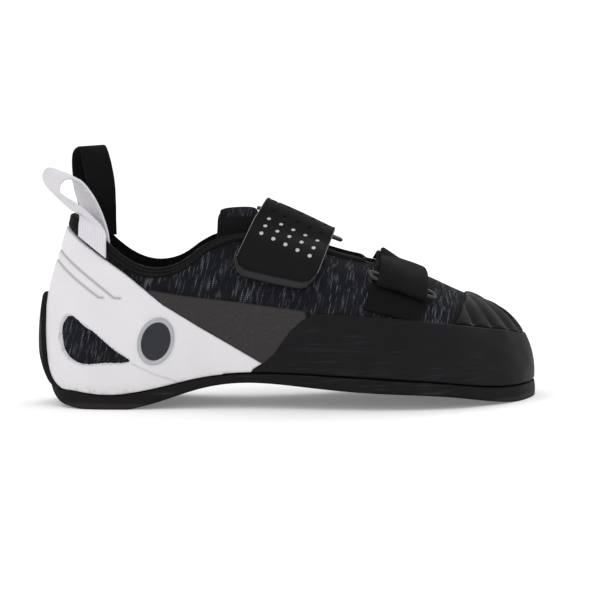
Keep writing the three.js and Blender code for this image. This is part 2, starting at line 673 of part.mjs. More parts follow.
// Tongue: a padded roll at its free end, thinner where it runs forward under the straps.
const tongueRows = [
  { x: 0.362, z: 1.045, half: 0.34, thick: 2 },
  { x: 0.38, z: 1.08, half: 0.37, thick: 3 },
  { x: 0.42, z: 1.085, half: 0.38, thick: 3 },
  { x: 0.448, z: 1.045, half: 0.37, thick: 2.3 },
  { x: 0.48, z: 0.975, half: 0.34, thick: 1.3 },
  { x: 0.532, z: 0.915, half: 0.3, thick: 1 },
  { x: 0.6, z: 0.83, half: 0.26, thick: 1 },
  { x: 0.65, z: 0.755, half: 0.24, thick: 1 },
  { x: 0.7, z: 0.71, half: 0.24, thick: 1 },
  { x: 0.75, z: 0.672, half: 0.24, thick: 1 },
];
const tongueAcross = [
  { y: -1.3, crown: 0 },
  { y: -1.02, crown: 0 },
  { y: -0.8, crown: 0.5 },
  { y: -0.4, crown: 0.88 },
  { y: 0, crown: 1 },
  { y: 0.4, crown: 0.88 },
  { y: 0.8, crown: 0.5 },
  { y: 1.02, crown: 0 },
  { y: 1.3, crown: 0 },
];
const topLine = sideLine(topRows.slice(4).map((row) => [row.x, row.z]));
function tongueGrid(below) {
  const spread = (pick) => {
    const curve = new THREE.CatmullRomCurve3(
      tongueRows.map((row, i) => vec(i, pick(row), 0)), false, "centripetal",
    );
    return (t) => curve.getPoint(t).y;
  };
  const [x, z, half, thick] = ["x", "z", "half", "thick"].map((name) => spread((row) => row[name]));
  return steps(0, 1, 16).map((t) => {
    const px = x(t) * footLength;
    const base = Math.min(topLine(px) - 4.7, z(t) * instepHeight - 1);
    return tongueAcross.map((station) => {
      const raised = mix(base, z(t) * instepHeight, station.crown);
      const down = below * mix(tongueThick * 0.7, tongueThick * thick(t), station.crown);
      return vec(px, ridgeY(px) + station.y * half(t) * heelHalf, raised - down);
    });
  });
}
const tongue = shell(tongueGrid(0), tongueGrid(1));

// Badge: a plain oval plate on the heel cup.
const badgeMiddle = { x: 0.242, z: 0.375 };
const badgeHalf = { x: 0.036, z: 0.128 };
const oval = steps(0, 1, 20).slice(0, -1).map((t) => {
  const angle = 2 * Math.PI * t;
  const lean = badgeHalf.z * Math.sin(angle);
  return [badgeMiddle.x + badgeHalf.x * Math.cos(angle) + 0.05 * lean, badgeMiddle.z + lean];
});
const badge = band({ rise: layerOut + gap, thick: 1, outline: oval, to: -8 });

const shoe = new THREE.Group();
function add(name, geometry, color, roughness, metalness = 0) {
  const mesh = new THREE.Mesh(geometry, new THREE.MeshStandardMaterial({ color, roughness, metalness }));
  mesh.name = name;
  shoe.add(mesh);
}
add("upper", upper, 0x23252b, 0.9);
add("insole", insole, 0x2c2c2e, 0.9);
add("sole", sole, 0x1c1a1a, 0.6);
add("heel_strip", heelStrip, 0x1c1a1a, 0.6);
add("rand", rand, 0x1e1e20, 0.55);
add("heel_cup", heelCup, 0xe2e1e4, 0.5);
add("panel_outer", panelOuter, 0x3c3839, 0.8);
add("panel_inner", panelInner, 0x3c3839, 0.8);
add("toe_patch", toePatch, 0x1e1e20, 0.55);
add("collar_binding", collarBinding, 0x151517, 0.9);
add("throat_binding_outer", throatOuter, 0x151517, 0.9);
add("throat_binding_inner", throatInner, 0x151517, 0.9);
add("tongue", tongue, 0x17171a, 0.95);
add("upper_strap", geometryOf(upperStrap), 0x1a1a1c, 0.7);
add("front_strap", geometryOf(frontStrap), 0x151517, 0.9);
add("front_webbing", geometryOf(frontUnder), 0x151517, 0.9);
add("loop_outer", loopOuter, 0xe2e1e4, 0.8);
add("loop_inner", loopInner, 0x151517, 0.8);
add("upper_ring", upperRing, 0x8d8f94, 0.35, 1);
add("front_ring", frontRing, 0x8d8f94, 0.35, 1);
add("badge", geometryOf(badge), 0x2a2a2c, 0.5);

// The origin lies under the middle of the shoe.
const box = new THREE.Box3().setFromObject(shoe);
shoe.position.set(-(box.min.x + box.max.x) / 2, -(box.min.y + box.max.y) / 2, -box.min.z);
const group = new THREE.Group();
group.add(shoe);
export default group;
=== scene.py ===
"""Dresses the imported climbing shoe: knit, rubber, webbing and wire as fine surfaces over its frame."""

import logging
import math
from dataclasses import dataclass
from enum import Enum
from typing import Callable, Optional, Sequence, Union

import bmesh
import bpy
import numpy as np
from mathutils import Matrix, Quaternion, Vector


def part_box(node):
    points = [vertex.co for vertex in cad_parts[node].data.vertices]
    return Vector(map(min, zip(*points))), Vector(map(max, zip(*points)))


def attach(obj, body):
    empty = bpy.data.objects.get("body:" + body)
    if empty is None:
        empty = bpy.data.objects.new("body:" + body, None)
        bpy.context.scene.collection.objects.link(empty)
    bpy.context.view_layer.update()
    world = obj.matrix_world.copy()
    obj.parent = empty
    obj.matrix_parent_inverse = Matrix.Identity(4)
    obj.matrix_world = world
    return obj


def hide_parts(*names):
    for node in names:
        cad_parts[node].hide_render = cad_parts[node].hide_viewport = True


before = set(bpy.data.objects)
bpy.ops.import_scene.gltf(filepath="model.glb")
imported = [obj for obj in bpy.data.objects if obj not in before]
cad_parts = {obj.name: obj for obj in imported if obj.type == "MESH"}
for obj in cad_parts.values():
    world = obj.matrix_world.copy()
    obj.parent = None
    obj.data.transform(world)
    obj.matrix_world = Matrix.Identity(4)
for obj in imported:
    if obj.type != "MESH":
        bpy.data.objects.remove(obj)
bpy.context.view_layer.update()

Array = np.ndarray
Line = Callable[[Array], Array]
Points = Sequence[Sequence[float]]

# Sizes in millimetres, the same named sizes as the solids.
FOOT_LENGTH = 250.0
BALL_HALF = 42.0
HEEL_HALF = 28.5
INSTEP_HEIGHT = 90.0
WALL = 2.0
RAND_THICK = 1.5
PANEL_THICK = 1.0
TAPE_THICK = 1.2
STRIP_THICK = 2.4
LAYER_IN = 0.45
LAYER_OUT = LAYER_IN + RAND_THICK
SOLE_IN = LAYER_OUT + 0.3
MM = 0.001
# Distance to the border written on pieces whose finish has none near.
FAR = 9.0
ROWS = 13
RING = 2 * ROWS

log = logging.getLogger("shoe")


def clamp01(value: Array) -> Array:
    """Returns value held between 0 and 1."""
    return np.clip(value, 0.0, 1.0)


def ease(value: Array) -> Array:
    """Returns the smooth step t * t * (3 - 2 t) of value held between 0 and 1."""
    t = clamp01(value)
    return t * t * (3 - 2 * t)


def mix(a: Array, b: Array, t: Array) -> Array:
    """Returns a + (b - a) t."""
    return a + (b - a) * t


def unit(v: Array) -> Array:
    """Returns the vectors of the last axis at length one."""
    return v / np.maximum(np.linalg.norm(v, axis=-1, keepdims=True), 1e-9)


def side_line(points: Points) -> Line:
    """A line of the side view, z over x, that runs on straight past its ends.

    Args:
        points: x and z as shares of the foot's length and the instep's height.

    Returns:
        A function from x to z, both in millimetres.
    """
    placed = np.array(points) * (FOOT_LENGTH, INSTEP_HEIGHT)
    before = placed[0] + (placed[0] - placed[1]) * 200
    after = placed[-1] + (placed[-1] - placed[-2]) * 200
    run = np.vstack([before, placed, after])
    return lambda x: np.interp(x, run[:, 0], run[:, 1])


def closed_spline(values: Array) -> Callable[[Array], Array]:
    """The closed cubic B-spline whose knots lie on the rows of values.

    Args:
        values: one row of numbers for each knot round the ring.

    Returns:
        A function from a place on the ring to the row there. Each knot is (before + 4 here + after) / 6
        of the held points, so those come from one linear solve.
    """
    count = len(values)
    eye = np.eye(count)
    held = np.linalg.solve((4 * eye + np.roll(eye, 1, 0) + np.roll(eye, -1, 0)) / 6, values)

    def at(u: Array) -> Array:
        """Returns the row at each place, from the four held rows about it."""
        whole = np.floor(u).astype(int)
        t = u - whole
        weights = ((1 - t) ** 3, 3 * t**3 - 6 * t**2 + 4, -3 * t**3 + 3 * t**2 + 3 * t + 1, t**3)
        return sum(w[..., None] * held[(whole + k - 1) % count] for k, w in enumerate(weights)) / 6

    return at


# Outline of the bottom edge: x, heel share, ball share, z.
EDGE_ROWS = (
    (0.019, 0, 0, 0.333), (0.04, -0.505, 0, 0.185), (0.086, -0.835, 0, 0.117), (0.152, -0.985, 0, 0.1),
    (0.24, -1, 0, 0.135), (0.328, -0.75, -0.17, 0.19), (0.42, -0.35, -0.49, 0.216), (0.516, 0, -0.85, 0.217),
    (0.612, 0, -0.965, 0.207), (0.712, 0, -1.02, 0.19), (0.808, 0, -0.94, 0.165), (0.884, 0, -0.7, 0.13),
    (0.952, 0, -0.3, 0.108), (0.992, 0, 0.28, 0.103), (0.967, 0, 0.7, 0.106), (0.892, 0, 0.91, 0.127),
    (0.812, 0, 0.985, 0.162), (0.728, 0, 0.955, 0.187), (0.64, 0, 0.83, 0.207), (0.548, 0, 0.645, 0.222),
    (0.452, 0.12, 0.45, 0.226), (0.356, 0.49, 0.2, 0.205), (0.264, 0.895, 0, 0.152), (0.172, 0.975, 0, 0.102),
    (0.09, 0.845, 0, 0.117), (0.042, 0.515, 0, 0.185),
)
# Top line of both sides: x, z, half opening as a share of the heel's half width.
TOP_ROWS = (
    (0.076, 1.055, 0), (0.086, 1.045, 0.47), (0.124, 0.978, 0.755), (0.18, 0.84, 0.86), (0.244, 0.775, 0.895),
    (0.304, 0.825, 0.84), (0.352, 0.915, 0.65), (0.432, 0.945, 0.46), (0.532, 0.885, 0.37),
    (0.632, 0.8, 0.35), (0.732, 0.735, 0.35), (0.812, 0.635, 0.35), (0.868, 0.563, 0.3), (0.912, 0.505, 0),
)
# Middle line of the bottom: x, y as a share of the ball's half width, z, thickness of the sole.
BOTTOM_ROWS = (
    (0.115, 0, 0.078, 0.062), (0.13, 0, 0.078, 0.073), (0.155, 0, 0.077, 0.09), (0.19, 0, 0.079, 0.092),
    (0.25, -0.01, 0.108, 0.08), (0.33, -0.07, 0.166, 0.06), (0.42, -0.1, 0.195, 0.053),
    (0.52, -0.1, 0.195, 0.068), (0.61, -0.07, 0.184, 0.083), (0.7, -0.03, 0.166, 0.083),
    (0.785, 0.03, 0.14, 0.078), (0.85, 0.11, 0.1, 0.08), (0.895, 0.2, 0.08, 0.09), (0.925, 0.27, 0.074, 0.09),
)
# Fullness of the wall: belly, rise, reach, drop, corner.
FULL_ROWS = (
    (0, 0.45, 0.3, 0.3, 0.15), (0.02, 0.43, 0.25, 0.3, 0.085), (0.06, 0.42, 0.1, 0.3, 0.045),
    (0.08, 0.42, 0, 0.3, 0.035), (0.08, 0.42, 0, 0.3, 0.03), (0.08, 0.42, 0.05, 0.28, 0.03),
    (0.08, 0.42, 0.2, 0.2, 0.03), (0.1, 0.42, 0.4, 0.12, 0.03), (0.1, 0.42, 0.48, 0.07, 0.03),
    (0.08, 0.42, 0.5, 0.05, 0.03), (0.06, 0.45, 0.5, 0.04, 0.03), (0.05, 0.5, 0.5, 0.03, 0.03),
    (0.04, 0.5, 0.5, 0.05, 0.03), (0.03, 0.5, 0.5, 0.08, 0.03),
)
CUP_TOP = side_line([
    (0.04, 1.06), (0.0724, 0.98), (0.139, 0.834), (0.185, 0.74), (0.255, 0.577), (0.326, 0.456),
    (0.452, 0.257),
])
RAND_TOP = side_line([
    (0.396, 0.161), (0.416, 0.186), (0.45, 0.246), (0.476, 0.313), (0.506, 0.43), (0.53, 0.49), (0.556, 0.53),
    (0.728, 0.49), (0.848, 0.436), (0.93, 0.39), (1, 0.32),
])
PANEL_TOP = side_line([(0.22, 0.66), (0.3, 0.62), (0.426, 0.578), (0.55, 0.535)])
PATCH_BACK = side_line([(0.82, 0.41), (0.86, 0.575), (0.9, 0.74)])
THROAT_SHUT = (9.35, 10.0)


def heel_place(u: Array) -> Array:
    """Returns how far round the ring a place lies from the back of the heel."""
    v = np.mod(u, RING)
    return np.minimum(v, RING - v)


def turn_under(u: Array) -> Array:
    """Returns the s at which the wall ends under the foot: further down its columns at the heel."""
    return mix(-0.5, -0.14, ease(heel_place(u) / 2))


def sole_edge(u: Array) -> Array:
    """Returns the s of the sole's upper edge."""
    return turn_under(u) + mix(0.12, 0.06, ease(heel_place(u) / 2))


class Last:
    """The foot's form: u runs round from the heel, s from the bottom's middle (-1) up to the top (1)."""

    def __init__(self) -> None:
        """Gathers the tables into one closed spline."""
        pair = [i if i <= ROWS else RING - i for i in range(RING)]
        side = np.array([-1.0 if i <= ROWS else 1.0 for i in range(RING)])
        edge = np.array(EDGE_ROWS, float)
        top, bottom, full = (np.array(rows, float)[pair] for rows in (TOP_ROWS, BOTTOM_ROWS, FULL_ROWS))
        self.rows = closed_spline(np.column_stack([
            edge[:, 0] * FOOT_LENGTH, edge[:, 1] * HEEL_HALF + edge[:, 2] * BALL_HALF,
            edge[:, 3] * INSTEP_HEIGHT,
            top[:, 0] * FOOT_LENGTH, top[:, 1] * INSTEP_HEIGHT, side * top[:, 2] * HEEL_HALF,
            bottom[:, 0] * FOOT_LENGTH, bottom[:, 1] * BALL_HALF, bottom[:, 2] * INSTEP_HEIGHT,
            bottom[:, 3] * INSTEP_HEIGHT, full[:, 0] * BALL_HALF, full[:, 1], full[:, 2], full[:, 3],
            full[:, 4] * INSTEP_HEIGHT,
        ]))

    @staticmethod
    def ridge_y(x: Array) -> Array:
        """Returns how far the ridge leans to the inner side."""
        return 0.22 * BALL_HALF * ease((x / FOOT_LENGTH - 0.45) / 0.5)

    @staticmethod
    def throat_open(u: Array) -> Array:
        """Returns 1 where the throat is open, easing to 0 where the vamp closes."""
        return 1 - ease((heel_place(u) - THROAT_SHUT[0]) / (THROAT_SHUT[1] - THROAT_SHUT[0]))

    def outward(self, u: Array) -> Array:
        """Returns the level outward direction of the bottom edge."""
        ahead, back = self.rows(u + 0.02), self.rows(u - 0.02)
        along = unit(np.stack([ahead[..., 0] - back[..., 0], ahead[..., 1] - back[..., 1], 0 * u], -1))
        return np.stack([along[..., 1], -along[..., 0], 0 * u], -1)

    def sole_thick(self, u: Array) -> Array:
        """Returns the thickness of the sole."""
        return self.rows(u)[..., 9]

    def point(self, u: Array, s: Array) -> Array:
        """A point of the form: two cubic curves a column, bottom middle to edge and edge to top line.

        Args:
            u: places round the ring.
            s: heights of the column, of a shape that matches u.

        Returns:
            The points in millimetres.
        """
        u, s = np.broadcast_arrays(np.asarray(u, float), np.asarray(s, float))
        r = self.rows(u)
        edge, out = r[..., 0:3], self.outward(u)
        top_y = self.ridge_y(r[..., 3]) + r[..., 5] * self.throat_open(u)
        top = np.stack([r[..., 3], top_y, r[..., 4]], -1)
        middle = r[..., 6:9]
        height = (top[..., 2] - edge[..., 2])[..., None]
        inward = (top - edge) * (1, 1, 0)
        up = np.array([0.0, 0.0, 1.0])
        low = edge + out * r[..., 10:11] + up * r[..., 11:12] * height
        high = top - inward * r[..., 12:13] - up * r[..., 13:14] * height
        under = middle + (edge - middle) * (0.6, 0.6, 0)
        turn = edge - unit(low - edge) * r[..., 14:15]
        below = (s < 0)[..., None]
        t = np.where(s < 0, 1 + s, s)[..., None]
        ends = ((middle, edge), (under, low), (turn, high), (edge, top))
        a, b, c, d = (np.where(below, first, second) for first, second in ends)
        return a * (1 - t) ** 3 + 3 * b * t * (1 - t) ** 2 + 3 * c * t * t * (1 - t) + d * t**3

    def facing(self, u: Array, s: Array) -> Array:
        """Returns the cross product of the two directions of the surface, at length one."""
        across = self.point(u + 0.03, s) - self.point(u - 0.03, s)
        rising = self.point(u, np.minimum(1, s + 0.03)) - self.point(u, np.maximum(-1, s - 0.03))
        return unit(np.cross(across, rising))

    def normal(self, u: Array, s: Array) -> Array:
        """Returns the outward direction, shared by both sides along the ridge and the bottom's middle."""
        u, s = np.broadcast_arrays(np.asarray(u, float), np.asarray(s, float))
        found = self.facing(u, np.minimum(s, 0.985))
        other = self.facing(RING - u, np.full_like(s, 0.985))
        shared = (1 - self.throat_open(u)) * ease((s - 0.9) / 0.1)
        found = unit(mix(found, unit(found + other), shared[..., None]))
        flat = (1 - ease((s + 1) / 0.2))[..., None]
        return unit(mix(found, np.array([0.0, 0.0, -1.0]), flat))

    def crossing(self, u: Array, line: Line, low: float = -0.1, high: float = 1.0) -> Array:
        """Where each column crosses a line of the side view, found by halving.

        Args:
            u: places round the ring.
            line: z over x.
            low: lowest s looked at.
            high: highest s looked at.

        Returns:
            The s of each crossing.
        """
        a, b = np.full_like(u, low), np.full_like(u, high)
        for _ in range(24):
            middle = (a + b) / 2
            p = self.point(u, middle)
            under = p[..., 2] < line(p[..., 0])
            a, b = np.where(under, middle, a), np.where(under, b, middle)
        return (a + b) / 2

    def meeting(self, line_a: Line, line_b: Line, start: float, stop: float) -> float:
        """Returns the place between start and stop where two lines of the side view cross on the wall."""
        u = np.linspace(start, stop, 601)
        apart = self.crossing(u, line_a) - self.crossing(u, line_b)
        return float(u[np.argmax(np.sign(apart) != np.sign(apart[0]))])


LAST = Last()


def frame_shift() -> Array:
    """Returns how far the form moves in millimetres to lie in the upper's box: back and middle meet."""
    low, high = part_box("upper")
    x, y, _ = np.moveaxis(LAST.point(np.linspace(0, RING, 1041)[:, None], np.linspace(-0.2, 1, 61)), -1, 0)
    return np.array([low[0] / MM - x.min(), (low[1] + high[1]) / 2 / MM - (y.min() + y.max()) / 2, 0.0])


SHIFT = frame_shift()


def bell(t: Array) -> Array:
    """Returns the bell curve exp(-t^2)."""
    return np.exp(-(t**2))


def wrapped(front: Array, rear: Array) -> Array:
    """Returns profiles that run over the front, back along the rear and end where they began."""
    return np.concatenate([front, rear, front[:, :1]], 1)


def doubled(rows: Array) -> Array:
    """Returns rows followed by themselves the other way round."""
    return np.concatenate([rows, rows[:, ::-1]], 1)


def solved(
    measure: Callable[[Array, Array], Sequence[Array]], wanted: Sequence[Array], u: Array, r: Array,
    steps: int, limits: tuple[float, float], floor: float = 0.0,
) -> tuple[Array, Array]:
    """Finds where a measure of two coordinates has the wanted values, by Newton steps.

    Args:
        measure: gives two values from u and r, which may be followed by others.
        wanted: the two values looked for.
        u: first coordinate to start from.
        r: second coordinate to start from.
        steps: how many steps are taken.
        limits: the longest step in u and in r.
        floor: the smallest determinant divided by.

    Returns:
        u and r.
    """
    d = 0.01
    for _ in range(steps):
        here, over, up = measure(u, r), measure(u + d, r), measure(u, r - d)
        a, c = (over[0] - here[0]) / d, (over[1] - here[1]) / d
        b, e = (here[0] - up[0]) / d, (here[1] - up[1]) / d
        det = a * e - b * c
        det = np.where(np.abs(det) < floor, floor, det)
        x, y = wanted[0] - here[0], wanted[1] - here[1]
        u = u + np.clip((x * e - y * b) / det, -limits[0], limits[0])
        r = r + np.clip((y * a - x * c) / det, -limits[1], limits[1])
        if floor:
            r = np.clip(r, 0, 1.6)
    return u, r


def crowded(count: int, share: float = 0.6) -> Array:
    """Returns count values from 0 to 1 that crowd towards both ends: a mix of a straight and a cosine run."""
    t = np.linspace(0, 1, count)
    return mix(t, 0.5 - 0.5 * np.cos(math.pi * t), share)


def run_length(points: Array, axis: int) -> Array:
    """Returns the length walked along an axis of a grid, from 0."""
    step = np.linalg.norm(np.diff(points, axis=axis), axis=-1)
    start = np.zeros_like(np.take(step, [0], axis=axis))
    return np.concatenate([start, np.cumsum(step, axis=axis)], axis=axis)


def smooth_path(points: Points, count: int) -> Array:
    """A smooth path through points: a cubic Hermite curve over their spacing, its tangents the mean slopes.

    Args:
        points: the points passed through, one row each.
        count: how many points come back.

    Returns:
        The sampled path.
    """
    p = np.array(points, float)
    knots = np.concatenate([[0], np.cumsum(np.sqrt(np.linalg.norm(np.diff(p, axis=0), axis=1)))])
    slope = np.diff(p, axis=0) / np.diff(knots)[:, None]
    tangent = np.vstack([slope[:1], (slope[1:] + slope[:-1]) / 2, slope[-1:]])
    at = np.linspace(0, knots[-1], count)
    i = np.clip(np.searchsorted(knots, at, side="right") - 1, 0, len(p) - 2)
    h = (knots[i + 1] - knots[i])[:, None]
    t = (at - knots[i])[:, None] / h
    return (
        p[i] * (2 * t**3 - 3 * t**2 + 1) + tangent[i] * h * (t**3 - 2 * t**2 + t)
        + p[i + 1] * (3 * t**2 - 2 * t**3) + tangent[i + 1] * h * (t**3 - t**2)
    )


def line_distance(x: Array, z: Array, points: Points) -> Array:
    """Returns the distance from each point of the side view to a broken line of points in millimetres."""
    nearest = np.full(np.broadcast(x, z).shape, 1e6)
    for (ax, az), (bx, bz) in zip(points[:-1], points[1:]):
        dx, dz = bx - ax, bz - az
        t = clamp01(((x - ax) * dx + (z - az) * dz) / (dx * dx + dz * dz))
        nearest = np.minimum(nearest, np.hypot(x - ax - t * dx, z - az - t * dz))
    return nearest


def put_mesh(
    name: str, grid: Array, uv: Array, edge: Array, ring: bool = False, tube: bool = True,
    drop: Optional[Array] = None, weld: bool = False, mark: Optional[Array] = None,
) -> bpy.types.Object:
    """Makes an object from a grid of points, in the shoe's frame.

    Args:
        name: the object's name.
        grid: points, columns by profile, in millimetres of the form.
        uv: pattern coordinates in millimetres for each point.
        edge: distance in millimetres to the nearest border for each point.
        ring: the last column is the first one again. Otherwise both end profiles are closed by a face.
        tube: the last point of each profile is its first one again.
        drop: marks the quads that are left out.
        weld: whether points that coincide become one.
        mark: three masks for each point, kept as the attribute "mark".

    Returns:
        The linked object, smooth shaded, with the UV map "cloth" and the attribute "border".
    """
    n, m = grid.shape[:2]
    index = np.arange(n * m).reshape(n, m)
    if tube:
        index[:, -1] = index[:, 0]
    if ring:
        index[-1] = index[0]
    corner = np.arange(n * m).reshape(n, m)
    quad = lambda a: np.stack([a[:-1, :-1], a[1:, :-1], a[1:, 1:], a[:-1, 1:]], -1).reshape(-1, 4)
    faces, source = quad(index), quad(corner)
    if drop is not None:
        faces, source = faces[~drop.reshape(-1)], source[~drop.reshape(-1)]
    v = (grid.reshape(-1, 3) - grid.reshape(-1, 3).mean(0))[faces]
    volume = (np.cross(v[:, 0], v[:, 1]) * v[:, 2]).sum() + (np.cross(v[:, 0], v[:, 2]) * v[:, 3]).sum()
    order = -1 if volume < 0 else 1
    faces, source = faces[:, ::order], source[:, ::order]
    used = np.unique(faces)
    remap = np.full(n * m, -1)
    remap[used] = np.arange(len(used))
    faces = remap[faces]
    polygons = faces.tolist()
    corners = source.reshape(-1)
    if not ring:
        stop = m - 1
        polygons += [remap[index[0, :stop][::order]].tolist(), remap[index[-1, :stop][::-order]].tolist()]
        corners = np.concatenate([corners, corner[0, :stop][::order], corner[-1, :stop][::-order]])
    mesh = bpy.data.meshes.new(name)
    mesh.from_pydata(((grid.reshape(-1, 3)[used] + SHIFT) * MM).tolist(), [], polygons)
    layer = mesh.uv_layers.new(name="cloth")
    layer.data.foreach_set("uv", (uv.reshape(-1, 2)[corners] * MM).astype(np.float32).reshape(-1))
    border = mesh.attributes.new("border", "FLOAT", "POINT")
    border.data.foreach_set("value", edge.reshape(-1)[used].astype(np.float32))
    if mark is not None:
        masks = mesh.attributes.new("mark", "FLOAT_VECTOR", "POINT")
        masks.data.foreach_set("vector", mark.reshape(-1, 3)[used].astype(np.float32).reshape(-1))
    mesh.polygons.foreach_set("use_smooth", np.ones(len(mesh.polygons), bool))
    if weld:
        shape = bmesh.new()
        shape.from_mesh(mesh)
        bmesh.ops.remove_doubles(shape, verts=shape.verts, dist=2e-6)
        shape.to_mesh(mesh)
        shape.free()
    mesh.validate()
    mesh.update()
    piece = bpy.data.objects.new(name, mesh)
    bpy.context.scene.collection.objects.link(piece)
    return piece


@dataclass
class Sheet:
    """A layer over part of the form, with rounded borders and its back on the layer below."""

    name: str
    u: Array
    low: Array
    high: Array
    rows: int = 40
    rise: float = LAYER_IN
    thick: float = RAND_THICK
    round: float = 1.0
    ring: bool = False
    relief: Optional[Callable[[Array, Array, Array, Array], Array]] = None
    back: int = 5
    vamp: bool = False
    hole: Optional[Callable[[Array], Array]] = None
    marks: Optional[Callable[[Array, Array, Array, Array], Array]] = None

    def build(self) -> bpy.types.Object:
        """Builds the layer.

        The outer face is the form pushed out by rise + thick * sqrt(1 - (1 - d / round)^2), where d is the
        distance to the border, plus a relief that stands or sinks on it. The back is the form at rise.

        Returns:
            The object.
        """
        t = crowded(self.rows)
        u = self.u[:, None]
        s = self.low[:, None] + (self.high - self.low)[:, None] * t[None, :]
        base, out = LAST.point(u, s), LAST.normal(u, s)
        up = run_length(base, 1)
        along = run_length(base, 0)
        edge = np.minimum(up, up[:, -1:] - up)
        if not self.ring:
            edge = np.minimum(edge, np.minimum(along, along[-1:] - along))
        shut = (self.vamp * (LAST.throat_open(u) < 0.001) * (self.high[:, None] > 0.999)) > 0
        if self.vamp:
            edge = np.where(shut, up, edge)
        inside = np.zeros(edge.shape, bool)
        if self.hole:
            away = self.hole(base)
            edge, inside = np.minimum(edge, np.maximum(away, 0)), away < 0
        swell = self.thick * np.sqrt(1 - (1 - clamp01(edge / self.round)) ** 2)
        swell = np.where(inside, -self.rise - 0.6, swell)
        if self.relief:
            swell = swell + self.relief(base, u, s, edge)
        front = base + out * (self.rise + swell)[..., None]
        pick = np.linspace(self.rows - 1, 0, self.back).round().astype(int)
        rear = (base + out * (self.rise - 0.05))[:, pick]
        grid = wrapped(front, rear)
        mean = np.broadcast_to(along.mean(1, keepdims=True), up.shape)
        cloth = np.stack([mean, base[..., 2].min() + up], -1)
        mark = None
        if self.marks:
            mark = np.zeros(grid.shape)
            mark[:, : self.rows] = self.marks(base, u, s, edge)
            mark[:, -1] = mark[:, 0]
        drop = None
        if self.vamp:
            drop = np.zeros((len(self.u) - 1, grid.shape[1] - 1), bool)
            drop[:, self.rows - 1] = (shut[1:] & shut[:-1])[:, 0]
        return put_mesh(
            self.name, grid, wrapped(cloth, cloth[:, pick]), wrapped(edge, np.full(rear.shape[:2], -1.0)),
            ring=self.ring, drop=drop, weld=self.vamp, mark=mark,
        )


def along_ring(start: float, stop: float, per_place: int = 12) -> Array:
    """Returns places from start to stop, about per_place to each row of the tables."""
    return np.linspace(start, stop, int(round((stop - start) * per_place)) + 1)


@dataclass
class Saddle:
    """Surface coordinates over the instep: a along the ridge, turn round an axis inside the shoe.

    A turn of 0 is straight up from the axis and grows to the outer side.
    """

    x: float = 133.0
    y: float = 3.0
    z: float = 58.0
    slope: float = math.radians(22)

    def axes(self) -> tuple[Array, Array, Array, Array]:
        """Returns the axis point, the direction along the ridge, the one away from it and the outer one."""
        c, s = math.cos(self.slope), math.sin(self.slope)
        return (np.array([self.x, self.y, self.z]), np.array([c, 0, -s]), np.array([s, 0, c]),
                np.array([0.0, -1.0, 0.0]))

    @staticmethod
    def form(u: Array, r: Array) -> Array:
        """The wall for r up to 1, and above it a lifted line across the throat from top line to top line."""
        wall = LAST.point(u, np.minimum(r, 1))
        q = clamp01(r - 1)[..., None]
        near, far = LAST.point(u, np.ones_like(r)), LAST.point(RING - u, np.ones_like(r))
        span = np.linalg.norm(near - far, axis=-1, keepdims=True)
        over = mix(near, far, q) + np.array([0.0, 0.0, 0.24]) * span * 4 * q * (1 - q)
        return np.where((r > 1)[..., None], over, wall)

    def coordinates(self, p: Array) -> tuple[Array, Array, Array]:
        """Returns a, the turn and the distance from the axis of points."""
        origin, along, away, outer = self.axes()
        q = p - origin
        h, w = q @ away, q @ outer
        return q @ along, np.arctan2(w, h), np.hypot(w, h)

    def radius(self, a: Array, turn: Array) -> Array:
        """The form's distance from the axis, by Newton steps from the nearest point of a coarse grid.

        Args:
            a: places along the ridge in millimetres.
            turn: turns in radians, of the same shape.

        Returns:
            The distances.
        """
        coarse_u = np.concatenate([np.linspace(4, 12, 60), np.linspace(14, 22, 60)])[:, None]
        coarse_r = np.linspace(0.1, 1.5, 56)[None, :]
        cu, cr = np.broadcast_arrays(coarse_u, coarse_r)
        ca, ct, _ = self.coordinates(self.form(cu, cr))
        flat_a, flat_t = a.reshape(-1), turn.reshape(-1)
        span = (flat_a[:, None] - ca.reshape(-1)) ** 2 + (35 * (flat_t[:, None] - ct.reshape(-1))) ** 2
        best = span.argmin(1)
        measure = lambda u, r: self.coordinates(self.form(u, r))
        start = cu.reshape(-1)[best], cr.reshape(-1)[best]
        u, r = solved(measure, (flat_a, flat_t), *start, steps=7, limits=(0.3, 0.15), floor=1e-4)
        return measure(u, r)[2].reshape(a.shape)

    def place(self, a: Array, turn: Array, radius: Array) -> Array:
        """Returns the points at a, turn and radius."""
        origin, along, away, outer = self.axes()
        return (origin + a[..., None] * along
                + radius[..., None] * (np.cos(turn)[..., None] * away + np.sin(turn)[..., None] * outer))


SADDLE = Saddle()


def smoothed(values: Array, passes: int, axis: int) -> Array:
    """Returns values with (1, 2, 1) / 4 run over them along an axis, the ends held."""
    v = np.moveaxis(values.copy(), axis, 0)
    for _ in range(passes):
        v[1:-1] = (v[:-2] + 2 * v[1:-1] + v[2:]) / 4
    return np.moveaxis(v, 0, axis)


def refined(values: Array, times: int, axis: int) -> Array:
    """Returns values with times as many steps along an axis, on cubic curves through the given ones."""
    if times == 1:
        return values
    v = np.moveaxis(values, axis, 0)
    last = len(v) - 1
    at = np.linspace(0, last, last * times + 1)
    i = np.minimum(at.astype(int), last - 1)
    t = (at - i).reshape((-1,) + (1,) * (v.ndim - 1))
    a, b, c, d = (v[np.clip(i + k, 0, last)] for k in (-1, 0, 1, 2))
    bent = b + 0.5 * t * (c - a + t * (2 * a - 5 * b + 4 * c - d + t * (3 * (b - c) + d - a)))
    return np.moveaxis(bent, 0, axis)


